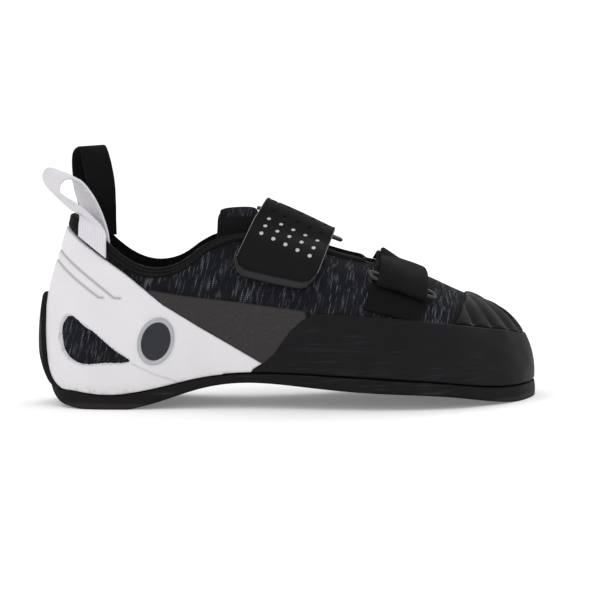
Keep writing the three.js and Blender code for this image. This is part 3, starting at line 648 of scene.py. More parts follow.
@dataclass
class Strap:
    """A band over the instep on the saddle's coordinates, with rounded borders."""

    name: str
    left: Callable[[Array], Array]
    right: Callable[[Array], Array]
    turn_from: Callable[[Array], Array]
    turn_to: Callable[[Array], Array]
    rise: float
    thick: float
    hump: tuple[float, float] = (0.0, 0.0)
    hump_at: float = 0.0
    hump_half: float = 0.35
    columns: int = 110
    rows: int = 60
    round: float = 0.8
    times: int = 1
    relief: Optional[Callable[[Array, Array, Array, Array], Array]] = None
    marks: Optional[Callable[[Array, Array, Array], Array]] = None

    def build(self) -> bpy.types.Object:
        """Builds the band.

        Its rows run across it from left to right and its columns run round the instep. Its face is the
        smoothed form plus rise, a bell-shaped hump from left to right, the thickness rounded at the border,
        and a relief.

        Returns:
            The object.
        """
        v = crowded(self.columns, 0.3)[:, None]
        w = crowded(self.rows, 0.5)[None, :]
        across = np.broadcast_to(w, (self.columns, self.rows))
        first, last = self.turn_from(w[0])[None, :], self.turn_to(w[0])[None, :]
        turn = mix(first, last, v)
        a = mix(self.left(turn), self.right(turn), across)
        radius = smoothed(smoothed(SADDLE.radius(a, turn), 14, 0), 4, 1)
        a, turn, radius, across = (
            refined(refined(values, self.times, 0), self.times, 1) for values in (a, turn, radius, across)
        )
        height = mix(self.hump[0], self.hump[1], across)
        lift = self.rise + height * bell((turn - self.hump_at) / self.hump_half)
        base = SADDLE.place(a, turn, radius + lift)
        along, wide = run_length(base, 0), run_length(base, 1)
        edge = np.minimum(np.minimum(along, along[-1:] - along), np.minimum(wide, wide[:, -1:] - wide))
        out = unit(np.cross(np.gradient(base, axis=1), np.gradient(base, axis=0)))
        sign = np.sign((out * (base - SADDLE.place(a, turn, radius * 0))).sum(-1).mean())
        out = out * sign
        swell = self.thick * (0.5 + 0.5 * np.sqrt(1 - (1 - clamp01(edge / self.round)) ** 2))
        if self.relief:
            swell = swell + self.relief(base, along, wide, edge)
        front = base + out * swell[..., None]
        rear = base[:, ::-1]
        grid = wrapped(front, rear)
        cloth = np.stack([wide, along], -1)
        uv, border = wrapped(cloth, cloth[:, ::-1]), wrapped(edge, 0 * edge)
        masks = np.zeros(grid.shape)
        if self.marks:
            masks[:, : edge.shape[1]] = self.marks(base, along, edge)
        if sign > 0:
            grid, uv, border, masks = grid[::-1], uv[::-1], border[::-1], masks[::-1]
        return put_mesh(self.name, grid, uv, border, mark=masks)


def wire_loop(name: str, path: Array, radius: float, around: int = 12) -> bpy.types.Object:
    """A closed loop of round wire: path + radius (cos k side + sin k lift).

    Args:
        name: the object's name.
        path: points of the middle line in millimetres.
        radius: the wire's radius.
        around: points round the wire.

    Returns:
        The object.
    """
    path = np.vstack([path, path[:1]])
    tangent = unit(np.gradient(path, axis=0))
    tangent[0] = tangent[-1] = unit(path[1] - path[-2])
    lift = unit(np.cross(tangent, np.broadcast_to([0.31, 0.21, 0.93], tangent.shape)))
    side = np.cross(lift, tangent)
    k = np.linspace(0, 2 * math.pi, around + 1)[None, :, None]
    grid = path[:, None] + radius * (np.cos(k) * side[:, None] + np.sin(k) * lift[:, None])
    uv = np.stack(np.broadcast_arrays(run_length(path, 0)[:, None], radius * k[..., 0]), -1)
    return put_mesh(name, grid, uv, np.full(grid.shape[:2], FAR), ring=True)


def ribbon(name: str, front: Array, rear: Array, thick: float, rows: int = 16) -> bpy.types.Object:
    """A flat webbing between two edge curves, its profile a slot: flat faces with half-round edges.

    Args:
        name: the object's name.
        front: points of one edge in millimetres.
        rear: points of the other edge, as many.
        thick: the webbing's thickness.
        rows: points across one face.

    Returns:
        The object.
    """
    path, across = (front + rear) / 2, rear - front
    wide = unit(across)
    half = np.linalg.norm(across, axis=-1)[:, None] / 2
    out = unit(np.cross(np.gradient(path, axis=0), wide))
    flat = np.linspace(-1, 1, rows)
    bend = np.linspace(-math.pi / 2, math.pi / 2, 5)[1:-1]
    x = np.concatenate([flat, np.ones(3), -flat, -np.ones(3)])
    nose = np.concatenate([0 * flat, np.cos(bend[::-1]), 0 * flat, -np.cos(bend)]) * thick / 2
    y = np.concatenate([0 * flat + 1, np.sin(bend[::-1]), 0 * flat - 1, np.sin(bend)]) * thick / 2
    x, nose, y = (np.append(v, v[0]) for v in (x, nose, y))
    reach = x[None, :] * (half - thick / 2) + nose[None, :]
    grid = path[:, None] + reach[..., None] * wide[:, None] + y[None, :, None] * out[:, None]
    uv = np.stack(np.broadcast_arrays(reach, run_length(path, 0)[:, None]), -1)
    return put_mesh(name, grid, uv, half - np.abs(reach))


def in_outline(x: Array, z: Array, outline: Array) -> Array:
    """Returns whether points of the side view lie inside a closed outline, by counting crossed edges."""
    inside = np.zeros(np.broadcast(x, z).shape, bool)
    for (ax, az), (bx, bz) in zip(outline, np.roll(outline, -1, 0)):
        if az != bz:
            inside ^= ((az > z) != (bz > z)) & (x < (bx - ax) * (z - az) / (bz - az) + ax)
    return inside


def on_side(x: Array, z: Array, guess_u: float, guess_s: float) -> tuple[Array, Array]:
    """The place on the wall that the side view shows at x and z, by Newton steps.

    Args:
        x: places along the shoe in millimetres.
        z: heights in millimetres.
        guess_u: a place on the ring near them.
        guess_s: a height of the column near them.

    Returns:
        u and s of each point.
    """
    side_view = lambda u, s: np.moveaxis(LAST.point(u, s), -1, 0)[::2]
    start = np.full_like(x, guess_u), np.full_like(x, guess_s)
    return solved(side_view, (x, z), *start, steps=12, limits=(0.5, 0.15))


# Lines of the side view on the heel cup, in millimetres.
ALMOND = [
    (16.6, 45.5), (14.1, 41), (13.7, 34.5), (15.8, 27.8), (19.8, 24), (25.6, 22.3), (34.8, 23), (44.5, 23.3),
    (47.4, 24.2), (45.6, 25.9), (40.6, 29.1), (33.7, 34.9), (27.9, 40), (22.1, 44), (19.2, 46),
]
GROOVES = (
    ((9.5, 81.5), (13.1, 77.8), (23.6, 68.8), (40.2, 55.1), (43.2, 55)),
    ((8.8, 75.5), (11.6, 72.8), (22.1, 63.7), (32.7, 55.4), (34.7, 55.3)),
)
CUP_SEAM = ((48.5, 23), (60, 17.5), (72, 13.5))


def wavy(p: Array, size: float, length: float, seed: float) -> Array:
    """Slow unevenness of soft rubber and knit: size times the mean of four crossed sine waves.

    Args:
        p: points of the form.
        size: the largest height in millimetres.
        length: about how long the waves are.
        seed: shifts the waves against each other.

    Returns:
        The heights.
    """
    k = 2 * math.pi / length
    x, y, z = p[..., 0], p[..., 1], p[..., 2]
    waves = (
        np.sin(k * (x + 0.4 * z) + seed) + np.sin(k * 1.37 * (z - 0.3 * x + 0.2 * y) + 1.7 + seed)
        + np.sin(k * 0.71 * (x - y) + 2.9 * seed) + np.sin(k * 1.9 * (0.5 * x + z + 0.6 * y) + 4.1 - seed)
    )
    return size * waves / 4


@dataclass
class Uppers:
    """The knitted upper with its insole board and its bindings."""

    collar_place: float = 7.1
    throat_start: float = 7.2
    throat_end: float = 9.2
    tape: float = 0.1
    board_thick: float = 2.1

    def wall(self) -> bpy.types.Object:
        """Returns the knit wall, its lining and its turned-over top line."""
        u = along_ring(0, RING, 11)
        pull = lambda p, u, s, e: wavy(p, 0.25, 26, 0.4) * ease(e / 6)
        return Sheet("knit_upper", u, turn_under(u), np.ones_like(u), rows=96, rise=-WALL, thick=WALL,
                     round=1.1, ring=True, back=40, vamp=True, relief=pull).build()

    def board(self) -> bpy.types.Object:
        """Returns the insole board: two faces of the form 2 mm apart, from the middle line out."""
        u = along_ring(0, RING, 8)[:, None]
        s = mix(-1.0, turn_under(u) - 0.03, np.linspace(0, 1, 18))
        base, out = LAST.point(u, s), LAST.normal(u, s)
        rim = run_length(base, 1)
        grid = np.concatenate([base, (base - out * self.board_thick)[:, ::-1]], 1)
        return put_mesh("footbed", grid, doubled(base[..., :2]), doubled(rim[:, -1:] - rim), ring=True,
                        tube=False, weld=True)

    def binding(self, name: str, start: float, stop: float) -> bpy.types.Object:
        """Returns a tape along the top line between two places."""
        u = along_ring(start, stop, 10)
        return Sheet(name, u, np.full_like(u, 1 - self.tape), np.full_like(u, 0.999), rows=16, rise=-0.1,
                     thick=TAPE_THICK + 0.3, round=0.9).build()

    def build(self) -> dict[str, bpy.types.Object]:
        """Builds the upper's pieces and returns them by the node they stand for."""
        start, end = self.throat_start, self.throat_end
        return {
            "upper": self.wall(),
            "insole": self.board(),
            "collar_binding": self.binding("collar_tape", -self.collar_place, self.collar_place),
            "throat_binding_outer": self.binding("throat_tape_outer", start, end),
            "throat_binding_inner": self.binding("throat_tape_inner", RING - end, RING - start),
        }


@dataclass
class Rubber:
    """The sole, heel strip, rand, heel cup, toe patch and the microfibre panels between them."""

    rand_start: float = 5.5
    seam: float = 0.004
    strip_span: float = 1.3
    strip_top: float = 0.62
    panel_ends: tuple[float, float] = (3.75, 7.4)
    rib_pitch: float = 0.5882
    window_depth: float = 8.0

    def foot(self, u: Array) -> Array:
        """Returns the s where the layers turn under the sole."""
        return turn_under(u) + 0.025

    def rand_high(self, u: Array) -> Array:
        """Returns the s of the rand's upper edge."""
        return np.maximum(LAST.crossing(u, RAND_TOP, -0.4), self.foot(u) + 0.02)

    def sole(self) -> bpy.types.Object:
        """Returns the sole: its seat follows the form, its wall is straight, its tread level in places."""
        u = along_ring(0, RING, 11)[:, None]
        share = 1 - (1 - np.linspace(0, 1, 34)) ** 1.6
        s = mix(-1.0, sole_edge(u), share)
        base, out, level = LAST.point(u, s), LAST.normal(u, s), LAST.outward(u)
        seat = base + out * mix(LAYER_IN, SOLE_IN, ease((s - turn_under(u) + 0.1) / 0.07))[..., None]
        low = base + level * (SOLE_IN * ease((share - 0.45) / 0.5))[:, None]
        low[..., 2] -= LAST.sole_thick(u) + 0.4 * SOLE_IN * ease((share - 0.8) / 0.2)
        low[..., 2] = np.maximum(0, low[..., 2])
        down = np.linspace(0, 1, 14)[1:-1, None]
        wall = mix(seat[:, -1:], low[:, -1:], down) + level * 0.35 * np.sin(math.pi * down)
        low = low + ease((share - 0.955) / 0.045)[:, None] * (level * -0.5 + np.array([0, 0, 0.35]))
        grid = np.concatenate([seat, wall, low[:, ::-1]], 1)
        grid[..., 2] = np.maximum(grid[..., 2], 0)
        along = run_length(grid, 0).mean(1, keepdims=True)
        uv = np.stack([np.broadcast_to(along, grid.shape[:2]), run_length(grid, 1)], -1)
        edge = np.full(grid.shape[:2], FAR)
        return put_mesh("sole_rubber", grid, uv, edge, ring=True, tube=False, weld=True)

    def strip(self) -> bpy.types.Object:
        """Returns the strip that climbs the back of the heel and narrows as a raised cosine."""
        u = along_ring(-self.strip_span, self.strip_span, 40)
        low = sole_edge(u) - 0.02
        top = LAST.crossing(np.zeros(1), side_line([(0, self.strip_top), (1, self.strip_top)]))[0]
        rise = 0.5 + 0.5 * np.cos(math.pi * heel_place(u) / self.strip_span)
        return Sheet("heel_strip_rubber", u, low, mix(low + 0.05, top, rise), rows=60, rise=LAYER_OUT - 0.1,
                     thick=STRIP_THICK + 0.2, round=2.6).build()

    def rand(self) -> bpy.types.Object:
        """Returns the rand round the forefoot."""
        u = along_ring(self.rand_start, RING - self.rand_start, 18)
        wave = lambda p, u, s, e: wavy(p, 0.12, 31, 1.1) * ease(e / 5)
        return Sheet("rand_rubber", u, self.foot(u), self.rand_high(u), rows=60, rise=0.02,
                     thick=LAYER_OUT - 0.02, round=1.3, relief=wave).build()

    def cup(self) -> bpy.types.Object:
        """Returns the heel cup with its almond windows and the two grooves that run round the heel."""
        u = along_ring(LAST.meeting(CUP_TOP, RAND_TOP, -5.5, -7), LAST.meeting(CUP_TOP, RAND_TOP, 5.5, 7), 34)
        foot = self.foot(u)
        low = np.where(heel_place(u) < self.rand_start, foot, np.maximum(foot, self.rand_high(u) + self.seam))
        high = np.clip(LAST.crossing(u, CUP_TOP, -0.3) - self.seam, low + 0.003, 0.925)
        outline = smooth_path(ALMOND + ALMOND[:1], 120)

        def window(p: Array) -> Array:
            """Returns the distance from the almond's edge, below zero inside it."""
            far = line_distance(p[..., 0], p[..., 2], outline)
            open_here = in_outline(p[..., 0], p[..., 2], outline) & (np.abs(p[..., 1]) > self.window_depth)
            return np.where(open_here, -far, far)

        def near(p: Array, lines: Sequence[Points], width: float, down: float = 0.0) -> Array:
            """Returns bells of a width along lines of the side view, which may be moved down."""
            rows = (line_distance(p[..., 0], p[..., 2] + down, line) for line in lines)
            return np.minimum(sum(bell(row / width) for row in rows), 1)

        def grooves(p: Array, u: Array, s: Array, e: Array) -> Array:
            """Returns two soft troughs along the groove lines and a slow unevenness."""
            return (wavy(p, 0.12, 24, 2.2) - 0.75 * near(p, GROOVES, 0.9)) * ease(e / 1.5)

        def marks(p: Array, u: Array, s: Array, e: Array) -> Array:
            """Returns the grooves' painted shade, the faint seam below the badge and painted border shade
            mixed with dirt.
            """
            # The first mask is painted shade in the grooves. The third is painted shade within 1.6 mm of
            # every border, plus dirt below about 14 mm.
            dirt_and_edge_shade = (1 - ease(e / 1.6)) * 0.7 + 0.5 * (1 - ease((p[..., 2] - 9) / 5))
            return np.stack([near(p, GROOVES, 0.55, 0.25), near(p, [CUP_SEAM], 0.5), dirt_and_edge_shade], -1)

        return Sheet("heel_cup_rubber", u, low, high, rows=190, rise=0.02, thick=LAYER_OUT - 0.02, round=0.9,
                     relief=grooves, hole=window, marks=marks).build()

    def panel(self, name: str, start: float, stop: float) -> bpy.types.Object:
        """Returns the microfibre panel between the cup, the rand and the knit."""
        u = along_ring(start, stop, 30)
        floor = np.maximum(LAST.crossing(u, CUP_TOP), LAST.crossing(u, RAND_TOP)) - 0.01
        high = np.maximum(LAST.crossing(u, PANEL_TOP), floor + 0.004)
        return Sheet(name, u, floor, high, rows=36, rise=0.02, thick=PANEL_THICK + 0.25, round=0.5).build()

    def patch(self) -> bpy.types.Object:
        """Returns the toe patch with its ribs, which fan out from the toe box to the rand."""
        start = LAST.meeting(PATCH_BACK, RAND_TOP, 10, 12) + 0.03
        u = np.linspace(start, RING - start, 261)
        low = LAST.crossing(u, RAND_TOP) + self.seam
        high = np.maximum(LAST.crossing(u, PATCH_BACK), low + 0.01)
        fan = np.where(high > 0.999, 1.0, high)

        def fold(u: Array) -> Array:
            """Returns 0 in a fold and 1 on a rib's back: the size of a cosine of the place from the toe."""
            return np.abs(np.cos((u - ROWS) * math.pi / self.rib_pitch))

        def ribs(p: Array, u: Array, s: Array, e: Array) -> Array:
            """Returns ribs with rounded backs and sharp folds between, faded at the border."""
            return (1.3 * fold(u) - 0.9) * ease(e / 1.6)

        def marks(p: Array, u: Array, s: Array, e: Array) -> Array:
            """Returns a painted highlight along the folds between the ribs, brightest near the rand."""
            # Painted highlight: pale glints in the folds, fading away from the rand.
            line = bell(fold(u) / 0.12) * clamp01(1 - e / 12)
            return np.stack([line, 0 * e, 0 * e], -1)

        behind = lambda p: 0.56 * (PATCH_BACK(p[..., 0]) - p[..., 2]) + 0.05
        return Sheet("toe_patch_rubber", u, low, fan, rows=50, rise=0.02, thick=1.25, round=0.8, relief=ribs,
                     vamp=True, hole=behind, marks=marks).build()

    def build(self) -> dict[str, bpy.types.Object]:
        """Builds the rubber pieces and returns them by the node they stand for."""
        start, end = self.panel_ends
        return {
            "sole": self.sole(),
            "heel_strip": self.strip(),
            "rand": self.rand(),
            "heel_cup": self.cup(),
            "panel_outer": self.panel("panel_suede_outer", start, end),
            "panel_inner": self.panel("panel_suede_inner", RING - end, RING - start),
            "toe_patch": self.patch(),
        }


# The tongue: x, z, half width as a share of the heel's half width, fullness.
TONGUE_ROWS = (
    (0.362, 0.985, 0.34, 2), (0.367, 1.045, 0.36, 2.6), (0.385, 1.08, 0.37, 3), (0.42, 1.085, 0.38, 3),
    (0.448, 1.045, 0.37, 2.3), (0.48, 0.975, 0.34, 1.3), (0.532, 0.915, 0.3, 1), (0.6, 0.83, 0.26, 1),
    (0.65, 0.755, 0.24, 1), (0.7, 0.71, 0.24, 1), (0.75, 0.672, 0.24, 1),
)
# The tongue's arch: share of the half width, share of the height.
TONGUE_ACROSS = (
    (-1.3, 0), (-1.02, 0), (-0.8, 0.5), (-0.4, 0.88), (0, 1), (0.4, 0.88), (0.8, 0.5), (1.02, 0), (1.3, 0),
)
TOP_LINE = side_line([(row[0], row[1]) for row in TOP_ROWS[4:]])


@dataclass
class Tongue:
    """The padded tongue: a roll at its free end and a thin run under the straps."""

    thick: float = 3.0
    below_top_line: float = 4.7
    roll: float = 3.5

    def build(self) -> dict[str, bpy.types.Object]:
        """Builds the tongue: the table's rows along x, each an arch with flat flanges, closed below."""
        table = smooth_path(TONGUE_ROWS, 90) * (FOOT_LENGTH, INSTEP_HEIGHT, HEEL_HALF, self.thick)
        x, z, half, full = table.T[:, :, None]
        across, crown = smooth_path(TONGUE_ACROSS, 61).T
        crown = clamp01(crown)
        top = mix(np.minimum(TOP_LINE(x) - self.below_top_line, z - 1), z, crown)
        y = LAST.ridge_y(x) + across * half
        xx = np.broadcast_to(x, y.shape)
        end = ease(run_length(np.stack([xx, y, top], -1), 0) / self.roll)
        deep = mix(self.thick * 0.7, full, crown) / 2
        swell = deep * np.sqrt(1 - (1 - end) ** 2)
        up, down = (np.stack([xx, y, top - deep + way * swell], -1) for way in (1, -1))
        flat = np.stack([y, run_length(up, 0)], -1)
        side = (1 - np.abs(across)) * half
        edge = np.minimum(x - x[0], wrapped(side, side[:, ::-1]))
        piece = put_mesh("tongue_pad", wrapped(up, down[:, ::-1]), wrapped(flat, flat[:, ::-1]), edge)
        return {"tongue": piece}


def in_picture(p: Array) -> tuple[Array, Array]:
    """Returns the pixels where points of the form lie in a 600 x 600 side view, seen 6 degrees from above."""
    pixel = 0.5025
    across = 38 + p[..., 0] / pixel
    return across, 407 - 0.018 * (across - 105) - (p[..., 2] + 2.3 + 0.1045 * p[..., 1]) / pixel


@dataclass
class Straps:
    """Both straps, the webbing under the front one and the wire rings."""

    wire: float = 1.0
    first_hole: tuple[float, float] = (262.0, 235.0)
    next_hole: tuple[float, float] = (11.8, 5.5)
    next_row: tuple[float, float] = (3.7, -7.6)
    hole: float = 2.0

    def punched(self, p: Array) -> tuple[Array, Array]:
        """Holes in five rows of five on the outer side, in pixels: across by next_hole, up by next_row.

        Args:
            p: points of the form.

        Returns:
            A mask of the holes, and the row's number at each point.
        """
        x, y = in_picture(p)
        (ax, ay), (bx, by) = self.next_hole, self.next_row
        dx, dy = x - self.first_hole[0], y - self.first_hole[1]
        det = ax * by - ay * bx
        i = np.clip(np.round((dx * by - dy * bx) / det), 0, 4)
        j = np.clip(np.round((ax * dy - ay * dx) / det), 0, 4)
        off = np.hypot(dx - i * ax - j * bx, (dy - i * ay - j * by) * (1.15 + 0.2 * j))
        return ease((self.hole - off) / 0.9 + 0.5) * (p[..., 1] < 4), j

    def upper(self) -> bpy.types.Object:
        """Returns the pull-tab strap with its moulded lip along the lower end."""
        def lip(p: Array, along: Array, wide: Array, edge: Array) -> Array:
            """Returns a raised rim near the border, a pressed line behind the lip and the holes' dimples."""
            back = along[-1:] - along
            rim = 0.3 * ease((edge - 0.4) / 0.6) * (1 - ease((edge - 1.6) / 0.4))
            line = bell((back - 4.2) / 0.5)
            return rim + 0.5 * ease((back - 3.9) / -0.8) - 0.25 * line - 0.4 * self.punched(p)[0]

        def marks(p: Array, along: Array, edge: Array) -> Array:
            """Returns the holes, where they show pale, and the lip with its thin light edge."""
            hole, row = self.punched(p)
            end = ease((3.4 - (along[-1:] - along)) / 0.6)
            return np.stack([hole, (row < 2.5) * 1.0, end], -1)

        left = lambda turn: np.interp(turn, [-1.6, -1, 0, 0.5, 1.6], [-31, -31, -32.5, -35, -36.5])
        right = lambda turn: np.interp(turn, [-1.6, -1, 0, 1.6], [7, 6, 5, 3.6])
        end = lambda w: np.interp(w, [0, 0.06, 0.16, 0.88, 0.95, 1], [1.56, 1.69, 1.73, 1.56, 1.5, 1.36])
        start = lambda w: np.interp(w, [0, 0.1, 0.9, 1], [-1.28, -1.34, -1.3, -1.24])
        return Strap("pull_tab_strap", left, right, start, end, rise=1.6, thick=1.9, hump=(8.8, 3.4),
                     times=3, columns=90, rows=45, relief=lip, marks=marks).build()

    def front(self) -> bpy.types.Object:
        """Returns the front webbing strap, folded round its ring."""
        left = lambda turn: np.interp(turn, [-0.3, 0, 1.2], [30, 30, 32.6])
        right = lambda turn: np.interp(turn, [-0.3, 0, 1.2], [54, 54.5, 58.6])
        start, end = lambda w: 0 * w - 0.1, lambda w: mix(1.13, 1.1, w)
        return Strap("front_strap_webbing", left, right, start, end, rise=2.0, thick=2.0, hump=(2.2, 2.2),
                     hump_at=0.92, hump_half=0.42, columns=90, rows=46, round=1.3).build()

    def under(self) -> bpy.types.Object:
        """Returns the webbing that runs from the rand up under the front strap."""
        left = lambda turn: np.interp(turn, [-0.5, 0, 1.6], [28.5, 28.5, 31])
        right = lambda turn: np.interp(turn, [-0.5, 0, 1.6], [54.5, 55, 60])
        start, end = lambda w: 0 * w - 0.42, lambda w: mix(1.5, 1.42, w)
        return Strap("front_webbing_under", left, right, start, end, rise=0.1, thick=1.5, columns=100,
                     rows=40).build()

    def ring(self, name: str, place: Callable[[Array, Array], Array], half: float) -> bpy.types.Object:
        """Returns a long slot of wire, its corners squared off by a power of the sine.

        Args:
            name: the object's name.
            place: gives points from the share of the length and the distance across.
            half: half the slot's width in millimetres.
        """
        k = np.linspace(0, 2 * math.pi, 81)[:-1]
        across = half * np.sign(np.sin(k)) * np.abs(np.sin(k)) ** 0.4
        return wire_loop(name, place(0.5 + 0.5 * np.cos(k), across), self.wire)

    @staticmethod
    def crest(t: Array, across: Array) -> Array:
        """Returns the upper ring's points: a straight line under the strap's fold, level across."""
        ends = np.array([[111.4, 0.1, 96.9], [152.3, 1.9, 80.4]])
        return mix(ends[0], ends[1], t[:, None]) + across[:, None] * np.array([0.0, 1.0, 0.0])

    @staticmethod
    def fold(t: Array, across: Array) -> Array:
        """Returns the front ring's points: over the wall, along a line of the side view."""
        u = mix(8.95, 10.1, t)
        line = side_line([(0.676, 0.69), (0.776, 0.59)])
        s = LAST.crossing(u, lambda x: line(x) + 0.8 * across)
        return LAST.point(u, s) + LAST.normal(u, s) * 2.95

    def build(self) -> dict[str, bpy.types.Object]:
        """Builds the straps' pieces and returns them by the node they stand for."""
        return {
            "upper_strap": self.upper(),
            "front_strap": self.front(),
            "front_webbing": self.under(),
            "upper_ring": self.ring("upper_wire_ring", self.crest, 3.2),
            "front_ring": self.ring("front_wire_ring", self.fold, 1.7),
        }


WHITE_FRONT = [
    (36.4, -26.9, 74.8), (36.5, -26.9, 81.1), (36.4, -26.7, 87.6), (30.4, -26.5, 94.7), (22.2, -25.8, 101.4),
    (14.6, -23.6, 106.0), (14.0, -21.2, 109.8), (16.1, -18.7, 112.9), (19.3, -18.4, 113.7),
    (23.8, -17.9, 112.2), (29.4, -16.6, 105.7), (34.0, -16.4, 96.6), (36.9, -17.4, 87.3),
    (37.8, -17.9, 80.9),
]
WHITE_REAR = [
    (22.6, -22.3, 85.7), (22.9, -22.3, 91.0), (23.1, -21.7, 96.3), (18.6, -18.1, 98.8), (12.7, -15.2, 103.9),
    (6.2, -13.4, 111.0), (4.8, -11.8, 115.3), (7.0, -9.3, 118.4), (12.8, -6.0, 116.3), (18.4, -4.5, 113.3),
    (20.2, -5.5, 106.5), (22.5, -7.9, 99.9), (27.2, -9.4, 91.7), (30.1, -9.9, 83.8),
]
BLACK_FRONT = [
    (38.0, 31.8, 69.1), (36.5, 30.3, 81.2), (33.7, 28.9, 97.4), (30.9, 27.4, 112.5), (31.1, 24.7, 123.1),
    (33.7, 21.2, 127.5), (36.2, 16.0, 123.1), (38.7, 14.6, 110.8), (39.2, 15.9, 98.7), (39.0, 19.2, 89.9),
    (39.0, 20.9, 82.8),
]
BLACK_REAR = [
    (24.0, 29.0, 66.9), (22.5, 27.3, 78.8), (19.9, 25.5, 94.6), (17.1, 23.6, 110.5), (17.3, 20.3, 123.9),
    (21.3, 13.8, 126.9), (22.6, 11.6, 120.9), (24.9, 10.6, 109.2), (25.6, 10.9, 97.3), (26.0, 13.2, 88.1),
    (26.6, 13.5, 81.2),
]


@dataclass
class PullLoops:
    """The white pull loop on the outer side and the black one on the inner side."""

    thick: float = 1.4

    def build(self) -> dict[str, bpy.types.Object]:
        """Builds both loops from their edges and returns them by the node they stand for."""
        edges = {
            "loop_outer": ("white_pull_loop", WHITE_FRONT, WHITE_REAR, 180),
            "loop_inner": ("black_pull_loop", BLACK_FRONT, BLACK_REAR, 160),
        }
        return {
            node: ribbon(name, smooth_path(front, count), smooth_path(rear, count), self.thick)
            for node, (name, front, rear, count) in edges.items()
        }


@dataclass
class Badge:
    """A plain oval plate with a raised pale rim."""

    x: float = 60.5
    z: float = 33.75
    half_x: float = 9.0
    half_z: float = 11.5
    lean: float = 0.14

    def build(self) -> dict[str, bpy.types.Object]:
        """Builds the plate: circles of the side view laid on the cup, domed, with a step up at the rim."""
        share = np.concatenate([np.linspace(0.02, 0.78, 12), np.linspace(0.8, 1.0, 14)])
        k = np.linspace(0, 2 * math.pi, 97)
        r, a = np.meshgrid(share, k)
        dz = r * self.half_z * np.sin(a)
        dx = r * self.half_x * np.cos(a) + self.lean * dz
        u, s = on_side(self.x + dx, self.z + dz, 3.9, 0.3)
        base, out = LAST.point(u, s), LAST.normal(u, s)
        rim = ease((r - 0.8) / 0.05) * np.sqrt(clamp01(1 - ((r - 0.9) / 0.1) ** 4))
        front = base + out * (LAYER_OUT + 0.35 + 0.35 * rim)[..., None]
        rear = base + out * (LAYER_OUT - 0.2)
        grid = np.concatenate([front, rear[:, ::-1]], 1)
        uv = doubled(np.stack([dx, dz], -1))
        edge = np.concatenate([1 - r, 0 * r], 1)
        return {"badge": put_mesh("oval_badge", grid, uv, edge, ring=True)}


@dataclass
class Studio:
    """Pale floor, soft lights and the photograph's camera."""

    distance: float = 1.5
    lens: float = 179.6
    target: tuple[float, float, float] = (0.00656, 0.0, 0.0505)
    elevation: float = math.radians(6)
    roll: float = math.radians(0.55)

    def floor(self, finish: bpy.types.Material) -> None:
        """Makes the floor: a level sheet so wide that its end lies above the picture."""
        bpy.ops.mesh.primitive_plane_add(size=160)
        plane = bpy.context.object
        plane.name = "studio_floor"
        plane.data.materials.append(finish)

    def light(self, name: str, place: tuple[float, float, float], size: float, power: float) -> None:
        """Makes a square area light that faces the shoe."""
        data = bpy.data.lights.new(name, "AREA")
        data.size, data.energy = size, power
        lamp = bpy.data.objects.new(name, data)
        lamp.location = place
        lamp.rotation_euler = (Vector(self.target) - Vector(place)).to_track_quat("-Z", "Y").to_euler()
        bpy.context.scene.collection.objects.link(lamp)

    def camera(self) -> None:
        """Makes the camera at the photograph's angle, rolled as the photograph is."""
        back = Vector((0, -math.cos(self.elevation), math.sin(self.elevation)))
        data = bpy.data.cameras.new("photo_camera")
        data.lens, data.sensor_width, data.clip_start, data.clip_end = self.lens, 36.0, 0.05, 300.0
        eye = bpy.data.objects.new("photo_camera", data)
        eye.location = Vector(self.target) + back * self.distance
        turn = (-back).to_track_quat("-Z", "Y")
        turn.rotate(Quaternion(back, -self.roll))
        eye.rotation_euler = turn.to_euler()
        bpy.context.scene.collection.objects.link(eye)
        bpy.context.scene.camera = eye

    def build(self, finish: bpy.types.Material) -> None:
        """Builds the studio."""
        self.camera()
        self.floor(finish)
        world = bpy.data.worlds.new("studio_world")
        world.use_nodes = True
        world.node_tree.nodes["Background"].inputs["Color"].default_value = (1, 1, 1, 1)
        world.node_tree.nodes["Background"].inputs["Strength"].default_value = 1.0
        bpy.context.scene.world = world
        self.light("key", (-0.7, -0.5, 1.3), 0.6, 1.6)
        self.light("rim", (0.5, 0.9, 1.0), 0.6, 2.5)
        bpy.context.scene.view_settings.view_transform = "Standard"


Socket = bpy.types.NodeSocket
Value = Union[float, Sequence[float], Socket]
Paint = dict[str, Value]
Effect = Callable[["Graph", Sequence[Socket]], Paint]


def tone(code: str) -> tuple[float, float, float, float]:
    """Returns the linear colour of a #rrggbb code."""
    value = [int(code[i:i + 2], 16) / 255 for i in (1, 3, 5)]
    red, green, blue = (c / 12.92 if c <= 0.04045 else ((c + 0.055) / 1.055) ** 2.4 for c in value)
    return (red, green, blue, 1.0)


def darker(code: str, share: float) -> tuple[float, float, float, float]:
    """Returns the linear colour of a #rrggbb code at a share of its light."""
    red, green, blue, _ = tone(code)
    return (red * share, green * share, blue * share, 1.0)


class Operation(Enum):
    """What a Math node does."""

    TIMES = "MULTIPLY"
    PLUS = "ADD"
    MINUS = "SUBTRACT"
    OVER = "DIVIDE"
    SIZE = "ABSOLUTE"
    PART = "FRACT"
    WHOLE = "FLOOR"
    SINE = "SINE"


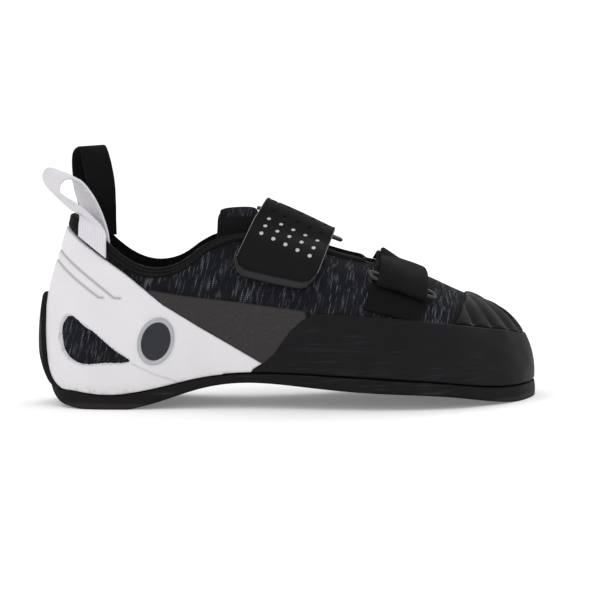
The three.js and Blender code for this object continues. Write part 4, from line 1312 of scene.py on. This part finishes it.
class Graph:
    """Adds and joins the nodes of one tree."""

    def __init__(self, tree: bpy.types.NodeTree) -> None:
        """Takes the tree."""
        self.tree = tree

    def add(self, kind: str, values: dict[Union[str, int], Value], **settings: object) -> bpy.types.Node:
        """Adds a shader node, with its settings and with its inputs set to values or joined to sockets."""
        node = self.tree.nodes.new("ShaderNode" + kind)
        for key, value in settings.items():
            setattr(node, key, value)
        self.feed(node, values)
        return node

    def feed(self, node: bpy.types.Node, values: dict[Union[str, int], Value]) -> None:
        """Sets or joins the inputs of a node."""
        for key, value in values.items():
            if isinstance(value, Socket):
                self.tree.links.new(value, node.inputs[key])
            else:
                node.inputs[key].default_value = value

    def math(self, operation: Operation, *values: Value) -> Socket:
        """Returns the result of a Math node."""
        return self.add("Math", dict(enumerate(values)), operation=operation.value).outputs[0]

    def times(self, a: Value, b: Value) -> Socket:
        """Returns a times b."""
        return self.math(Operation.TIMES, a, b)

    def plus(self, a: Value, b: Value) -> Socket:
        """Returns a plus b."""
        return self.math(Operation.PLUS, a, b)

    def minus(self, a: Value, b: Value) -> Socket:
        """Returns a less b."""
        return self.math(Operation.MINUS, a, b)

    def over(self, a: Value, b: Value) -> Socket:
        """Returns a divided by b."""
        return self.math(Operation.OVER, a, b)

    def gap(self, a: Value, b: Value) -> Socket:
        """Returns how far a and b lie apart."""
        return self.math(Operation.SIZE, self.minus(a, b))

    def off_middle(self, value: Value) -> Socket:
        """Returns how far value lies from the middle of its whole step: 0 there, 0.5 at the step's ends."""
        return self.gap(self.math(Operation.PART, value), 0.5)

    def pair(self, x: Value, y: Value) -> Socket:
        """Returns the vector x, y, 0."""
        return self.add("CombineXYZ", {0: x, 1: y}).outputs[0]

    def marks(self) -> tuple[Socket, Socket, Socket]:
        """Returns the piece's three painted masks."""
        return self.split(self.add("Attribute", {}, attribute_name="mark").outputs["Color"])

    def ramp(self, value: Value, low: float, high: float, start: float = 0.0, stop: float = 1.0) -> Socket:
        """Returns value eased from start at low to stop at high."""
        values = {"Value": value, "From Min": low, "From Max": high, "To Min": start, "To Max": stop}
        return self.add("MapRange", values, interpolation_type="SMOOTHSTEP").outputs["Result"]

    def blend(self, mask: Value, a: Union[str, Value], b: Union[str, Value]) -> Socket:
        """Returns the colour a where the mask is 0 and b where it is 1. Either may be a #rrggbb code."""
        a, b = (tone(colour) if isinstance(colour, str) else colour for colour in (a, b))
        return self.add("Mix", {0: mask, 6: a, 7: b}, data_type="RGBA").outputs[2]

    def scaled(self, vector: Socket, scale: tuple[float, float, float]) -> Socket:
        """Returns the vector times a scale for each axis."""
        return self.add("VectorMath", {0: vector, 1: scale}, operation="MULTIPLY").outputs[0]

    def noise(self, vector: Socket, scale: Value, detail: float = 3.0) -> Socket:
        """Returns a cloudy value from 0 to 1."""
        return self.add("TexNoise", {"Vector": vector, "Scale": scale, "Detail": detail}).outputs[0]

    def split(self, vector: Socket) -> tuple[Socket, Socket, Socket]:
        """Returns the three parts of a vector."""
        parts = self.add("SeparateXYZ", {0: vector}).outputs
        return parts[0], parts[1], parts[2]

    def cloth(self) -> Socket:
        """Returns the piece's pattern coordinates in metres."""
        return self.add("UVMap", {}, uv_map="cloth").outputs[0]

    def place(self) -> Socket:
        """Returns the place on the shoe in metres."""
        return self.add("TexCoord", {}).outputs["Object"]

    def border(self) -> Socket:
        """Returns the distance to the piece's border in millimetres."""
        return self.add("Attribute", {}, attribute_name="border").outputs["Fac"]

    def shared(self, effect: Effect, name: str, inputs: Paint) -> dict[str, Socket]:
        """Adds a node group, made the first time it is asked for.

        Args:
            effect: builds the inside from the group's input node and returns its outputs.
            name: the group's name.
            inputs: the inputs' names with what feeds them here.

        Returns:
            The group's outputs by name.
        """
        tree = bpy.data.node_groups.get(name)
        if tree is None:
            tree = bpy.data.node_groups.new(name, "ShaderNodeTree")
            for key, value in inputs.items():
                kind = "NodeSocketVector" if key == "Vector" else "NodeSocketFloat"
                tree.interface.new_socket(key, in_out="INPUT", socket_type=kind)
            source, sink = tree.nodes.new("NodeGroupInput"), tree.nodes.new("NodeGroupOutput")
            inside = Graph(tree)
            made = effect(inside, source.outputs)
            for key in made:
                tree.interface.new_socket(key, in_out="OUTPUT", socket_type="NodeSocketFloat")
            inside.feed(sink, made)
        node = self.add("Group", {}, node_tree=tree)
        self.feed(node, inputs)
        return {socket.name: socket for socket in node.outputs}


def grain(g: Graph, given: Sequence[Socket]) -> Paint:
    """Uneven surface: a fine grain and a broad clouding, both about 0.5."""
    return {
        "Fine": g.noise(given["Vector"], g.times(given["Scale"], 6.0), 4.0),
        "Broad": g.noise(given["Vector"], given["Scale"], 2.0),
    }


def grained(g: Graph, scale: float) -> dict[str, Socket]:
    """Returns the grain at the place on the shoe."""
    return g.shared(grain, "grain", {"Vector": g.place(), "Scale": scale})


def ribs(g: Graph, given: Sequence[Socket]) -> Paint:
    """Woven ribs: threads across the tape at Pitch, broken up along it into single passes of the yarn."""
    x, y, _ = g.split(given["Vector"])
    turn = g.over(2 * math.pi, given["Pitch"])
    row = g.math(Operation.SINE, g.times(y, turn))
    pick = g.math(Operation.SINE, g.times(x, g.times(turn, 0.6)))
    fluff = g.noise(given["Vector"], 2600.0, 2.0)
    height = g.times(row, g.plus(0.3, g.times(pick, 0.2)))
    return {"Height": g.plus(height, fluff), "Thread": g.ramp(row, -1.0, 1.0)}


def scuffs(g: Graph, given: Sequence[Socket]) -> Paint:
    """Faint rubbed streaks, long along the shoe, with patches where there are none."""
    streak = g.noise(g.scaled(given["Vector"], (60.0, 60.0, 1500.0)), 1.0, 6.0)
    patch = g.noise(given["Vector"], 34.0, 2.0)
    return {"Mask": g.times(g.ramp(streak, 0.52, 0.72), g.ramp(patch, 0.42, 0.68))}


def stitches(g: Graph, given: Sequence[Socket]) -> Paint:
    """A row of stitches at Inset millimetres from the border, as dashes Pitch metres long."""
    off = g.gap(given["Border"], given["Inset"])
    x, _, _ = g.split(given["Vector"])
    dash = g.off_middle(g.over(x, given["Pitch"]))
    return {"Mask": g.times(g.ramp(off, 0.3, 0.12), g.ramp(dash, 0.42, 0.34))}


@dataclass(frozen=True)
class Finish:
    """What a surface is made of: its colour, gloss and relief as nodes."""

    name: str
    colour: str
    roughness: float = 0.9
    specular: float = 0.12
    slot: str = ""

    def paint(self, g: Graph) -> Paint:
        """Returns what feeds the shader: a clouded colour, an uneven gloss and a grain."""
        made = grained(g, 260.0)
        deep = darker(self.colour, 0.82)
        return {
            "Base Color": g.blend(made["Broad"], deep, self.colour),
            "Roughness": g.ramp(made["Fine"], 0.2, 0.8, self.roughness - 0.06, self.roughness + 0.06),
            "Height": made["Fine"],
        }

    def build(self) -> bpy.types.Material:
        """Returns the finish as a material: the paint on a Principled shader, its Height through a bump."""
        made = bpy.data.materials.new(self.name)
        made.use_nodes = True
        g = Graph(made.node_tree)
        paint = self.paint(g)
        height = paint.pop("Height")
        depth = paint.pop("Depth", 0.00006)
        shader = made.node_tree.nodes["Principled BSDF"]
        bump = g.add("Bump", {"Height": height, "Distance": depth, "Strength": 0.8})
        g.feed(shader, {"Specular IOR Level": self.specular, **paint, "Normal": bump.outputs[0]})
        return made


@dataclass(frozen=True)
class Glowing(Finish):
    """Studio floor: white board lit from below, so that shadows stay pale."""

    def paint(self, g: Graph) -> Paint:
        """The clouded white with a little light of its own."""
        return {**super().paint(g), "Emission Color": tone(self.colour), "Emission Strength": 0.16}


@dataclass(frozen=True)
class Knit(Finish):
    """Dark rib knit with heathered yarn that shows as short pale dashes along the ribs."""

    dash: str = "#70747f"
    bound: float = -0.2
    stitch: float = 0.00078
    course: float = 0.0011
    lean: float = 0.24

    def paint(self, g: Graph) -> Paint:
        """Ribs of stitches side by side, each rib's yarn turning pale for a few millimetres at a time.

        The ribs stand nearly upright on the shoe; nearer the border than bound the cloth is a black lining.
        """
        cloth = g.cloth()
        _, y, _ = g.split(cloth)
        along, _, up = g.split(g.place())
        x = g.minus(along, g.times(up, self.lean))
        rib = g.over(x, self.stitch)
        yarn = g.noise(g.pair(g.times(g.math(Operation.WHOLE, rib), 7.31), g.times(y, 120.0)), 1.0, 2.0)
        group = g.noise(g.pair(g.times(x, 210.0), g.times(y, 34.0)), 1.0, 2.0)
        pale = g.times(g.ramp(yarn, 0.46, 0.72), g.ramp(group, 0.36, 0.64, 0.15, 1.0))
        course = g.off_middle(g.over(y, self.course))
        loops = g.times(g.ramp(g.off_middle(rib), 0.5, 0.12), g.ramp(course, 0.5, 0.15, 0.3, 1.0))
        mask = g.times(pale, loops)
        ground = g.blend(loops, "#0b0b0e", self.colour)
        lining = g.ramp(g.border(), self.bound + 0.3, self.bound)
        return {
            "Base Color": g.blend(lining, g.blend(mask, ground, self.dash), "#101012"),
            "Roughness": 0.92,
            "Height": g.plus(loops, g.noise(cloth, 2400.0, 2.0)),
            "Depth": 0.00022,
        }


@dataclass(frozen=True)
class Moulded(Finish):
    """Moulded rubber: satin, clouded, with faint rubbed streaks. Some have a lower tone, and some a line
    colour that paints shade in grooves and highlights on folds.
    """

    rubbed: str = "#4a4b50"
    wear: float = 0.35
    low: str = ""
    # Line colour: painted shade in the cup's grooves, painted highlight on the toe patch's folds.
    line: str = ""

    def paint(self, g: Graph) -> Paint:
        """Clouds between two near tones, streaks where the rubber has been brushed."""
        place = g.place()
        made = grained(g, 60.0)
        worn = g.times(g.shared(scuffs, "scuffs", {"Vector": place})["Mask"], self.wear)
        deep = darker(self.colour, 0.9)
        colour = g.blend(made["Broad"], deep, self.colour)
        if self.low:
            ragged = g.plus(g.split(place)[2], g.times(made["Broad"], 0.003))
            colour = g.blend(g.ramp(ragged, 0.005, 0.0035), colour, self.low)
        if self.line:
            groove, seam, dirt_and_edge_shade = g.marks()
            # Painted shade along the cup's grooves, painted highlight along the toe patch's folds.
            colour = g.blend(g.times(groove, 0.8), colour, self.line)
            colour = g.blend(g.times(seam, 0.35), colour, self.line)
            specks = g.ramp(made["Fine"], 0.4, 0.7, 0.1, 0.5)
            # Painted shade by the borders and dirt near the bottom, in one brownish grey.
            colour = g.blend(g.times(dirt_and_edge_shade, specks), colour, "#7d756c")
        return {
            "Base Color": g.blend(worn, colour, self.rubbed),
            "Roughness": g.ramp(made["Broad"], 0.3, 0.7, self.roughness - 0.07, self.roughness + 0.07),
            "Height": g.plus(made["Fine"], g.times(worn, 2.0)),
            "Depth": 0.00005,
        }


@dataclass(frozen=True)
class Suede(Finish):
    """Microfibre: a short nap that turns light and dark in patches, with painted shade along its border."""

    def paint(self, g: Graph) -> Paint:
        """Fine nap with streaks of its own lie, and painted shade in the last half millimetre by the border.
        """
        place = g.place()
        made = grained(g, 420.0)
        lie = g.noise(g.scaled(place, (800.0, 800.0, 1100.0)), 1.0, 3.0)
        tones = g.blend(g.ramp(lie, 0.3, 0.7), "#343132", self.colour)
        nap = g.blend(g.ramp(made["Fine"], 0.55, 0.75, 0.0, 0.4), tones, "#575254")
        return {
            # Painted shade along the panel's border.
            "Base Color": g.blend(g.ramp(g.border(), 0.9, 0.2), nap, "#1d1b1c"),
            "Roughness": 0.95,
            "Sheen Weight": 0.08,
            "Height": made["Fine"],
            "Depth": 0.00012,
        }


@dataclass(frozen=True)
class Webbing(Finish):
    """Woven tape with ribs across it and, on some, rows of stitches along its border."""

    pitch: float = 0.0009
    dark: str = "#0b0b0c"
    inset: float = 0.0
    thread: str = "#2a2a2c"
    turned: bool = False

    def paint(self, g: Graph) -> Paint:
        """Ribs light and dark, plus stitches where an inset is given."""
        cloth = g.cloth()
        if self.turned:
            x, y, _ = g.split(cloth)
            cloth = g.pair(y, x)
        woven = g.shared(ribs, "ribs", {"Vector": cloth, "Pitch": self.pitch})
        cloud = grained(g, 110.0)
        colour = g.blend(g.times(woven["Thread"], cloud["Broad"]), self.dark, self.colour)
        height = woven["Height"]
        if self.inset:
            given = {"Vector": cloth, "Border": g.border(), "Inset": self.inset, "Pitch": 0.0026}
            seam = g.shared(stitches, "stitches", given)
            colour = g.blend(seam["Mask"], colour, self.thread)
            height = g.plus(height, seam["Mask"])
        return {"Base Color": colour, "Roughness": 0.93, "Height": height, "Depth": 0.0001}


@dataclass(frozen=True)
class StrapFace(Finish):
    """Smooth coated cloth with punched holes that show pale, and a greyer moulded lip."""

    def paint(self, g: Graph) -> Paint:
        """Holes from the attribute "mark", the lip from the distance to the border at the tab's end."""
        made = grained(g, 150.0)
        hole, upper, lip = g.marks()
        face = g.blend(made["Broad"], "#0a0909", self.colour)
        sides = g.times(g.ramp(g.border(), 0.02, 0.12), g.ramp(g.border(), 0.75, 0.5))
        face = g.blend(g.times(sides, 0.8), face, "#8d8d91")
        face = g.blend(lip, face, "#29292c")
        inner = g.blend(upper, "#050505", "#bcbcc0")
        return {
            "Base Color": g.blend(g.ramp(hole, 0.4, 0.6), face, inner),
            "Roughness": g.ramp(lip, 0.0, 1.0, 0.72, 0.5),
            "Height": g.minus(made["Fine"], g.times(hole, 4.0)),
            "Depth": 0.00008,
        }


@dataclass(frozen=True)
class Wire(Finish):
    """Dark painted wire, rubbed a little bare."""

    def paint(self, g: Graph) -> Paint:
        """Paint with specks where the metal shows."""
        made = grained(g, 500.0)
        bare = g.ramp(made["Broad"], 0.62, 0.7, 0.0, 0.5)
        return {
            "Base Color": g.blend(bare, self.colour, "#77787c"),
            "Metallic": g.plus(bare, 0.3),
            "Roughness": self.roughness,
            "Height": made["Fine"],
            "Depth": 0.00002,
        }


@dataclass(frozen=True)
class Plate(Finish):
    """Badge: a dark face inside a pale rim, which starts at a share of its radius."""

    rim: str = "#a9aaae"

    def paint(self, g: Graph) -> Paint:
        """The rim's tone outside a fifth of the radius, the face's inside."""
        made = grained(g, 700.0)
        mask = g.ramp(g.border(), 0.21, 0.18)
        face = g.blend(made["Broad"], "#1c1d22", self.colour)
        return {
            "Base Color": g.blend(mask, face, self.rim),
            "Roughness": g.times(g.minus(1.0, mask), 0.5),
            "Metallic": g.times(mask, 0.5),
            "Height": made["Fine"],
            "Depth": 0.00003,
        }


BLACK_TAPE = Webbing("binding", "#1a191b", pitch=0.0007, inset=1.7, thread="#232325")
ELASTIC = Webbing("webbing", "#191718", pitch=0.0011)
SOLE = Moulded("sole_rubber", "#171516", 0.66, 0.1, rubbed="#3d3938", wear=0.5, low="#2a2524")
RAND = Moulded("rand_rubber", "#161618", 0.6, 0.1, rubbed="#35363a", wear=0.45)
MICROFIBRE = Suede("panel_suede", "#3b3738")
METAL = Wire("ring_metal", "#2b2c30", 0.4, 0.4)
FINISH_OF: dict[str, Finish] = {
    "upper": Knit("knit", "#1e1f25"),
    "insole": Finish("insole_board", "#3a3a3c"),
    "sole": SOLE,
    "heel_strip": SOLE,
    "rand": RAND,
    # The cup's line colour is painted shade in its grooves and the tone of its faint seam.
    "heel_cup": Moulded("cup_rubber", "#dfdde0", 0.55, 0.12, rubbed="#c2c0c2", wear=0.25, line="#8e8c90"),
    "panel_outer": MICROFIBRE,
    "panel_inner": MICROFIBRE,
    # The toe patch's line colour is a painted highlight along its folds.
    "toe_patch": Moulded("patch_rubber", "#111113", 0.55, 0.1, slot="rand_rubber", wear=0.2, line="#4d4e54"),
    "collar_binding": BLACK_TAPE,
    "throat_binding_outer": BLACK_TAPE,
    "throat_binding_inner": BLACK_TAPE,
    "tongue": Knit("tongue_knit", "#191a1f", slot="binding", dash="#666b78", bound=4.5),
    "upper_strap": StrapFace("strap_face", "#121112", specular=0.12),
    "front_strap": ELASTIC,
    "front_webbing": ELASTIC,
    "loop_outer": Webbing("white_webbing", "#e2e0e4", pitch=0.0016, dark="#cfccd1", turned=True),
    "loop_inner": ELASTIC,
    "upper_ring": METAL,
    "front_ring": METAL,
    "badge": Plate("badge_plate", "#2a2b31", specular=0.3),
}


def main() -> None:
    """Builds the shoe piece by piece and dresses it."""
    logging.basicConfig(level=logging.INFO, format="%(message)s")
    Studio().build(Glowing("studio_floor", "#ffffff", specular=0.0).build())
    made: dict[str, bpy.types.Material] = {}
    for part in (Uppers(), Rubber(), Tongue(), Straps(), PullLoops(), Badge()):
        for node, piece in part.build().items():
            finish = FINISH_OF[node]
            if finish.name not in made:
                made[finish.name] = finish.build()
            piece.data.materials.append(made[finish.name])
            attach(piece, "root")
            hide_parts(node)
            log.info("%s: %d faces", piece.name, len(piece.data.polygons))


if __name__ == "__main__":
    main()
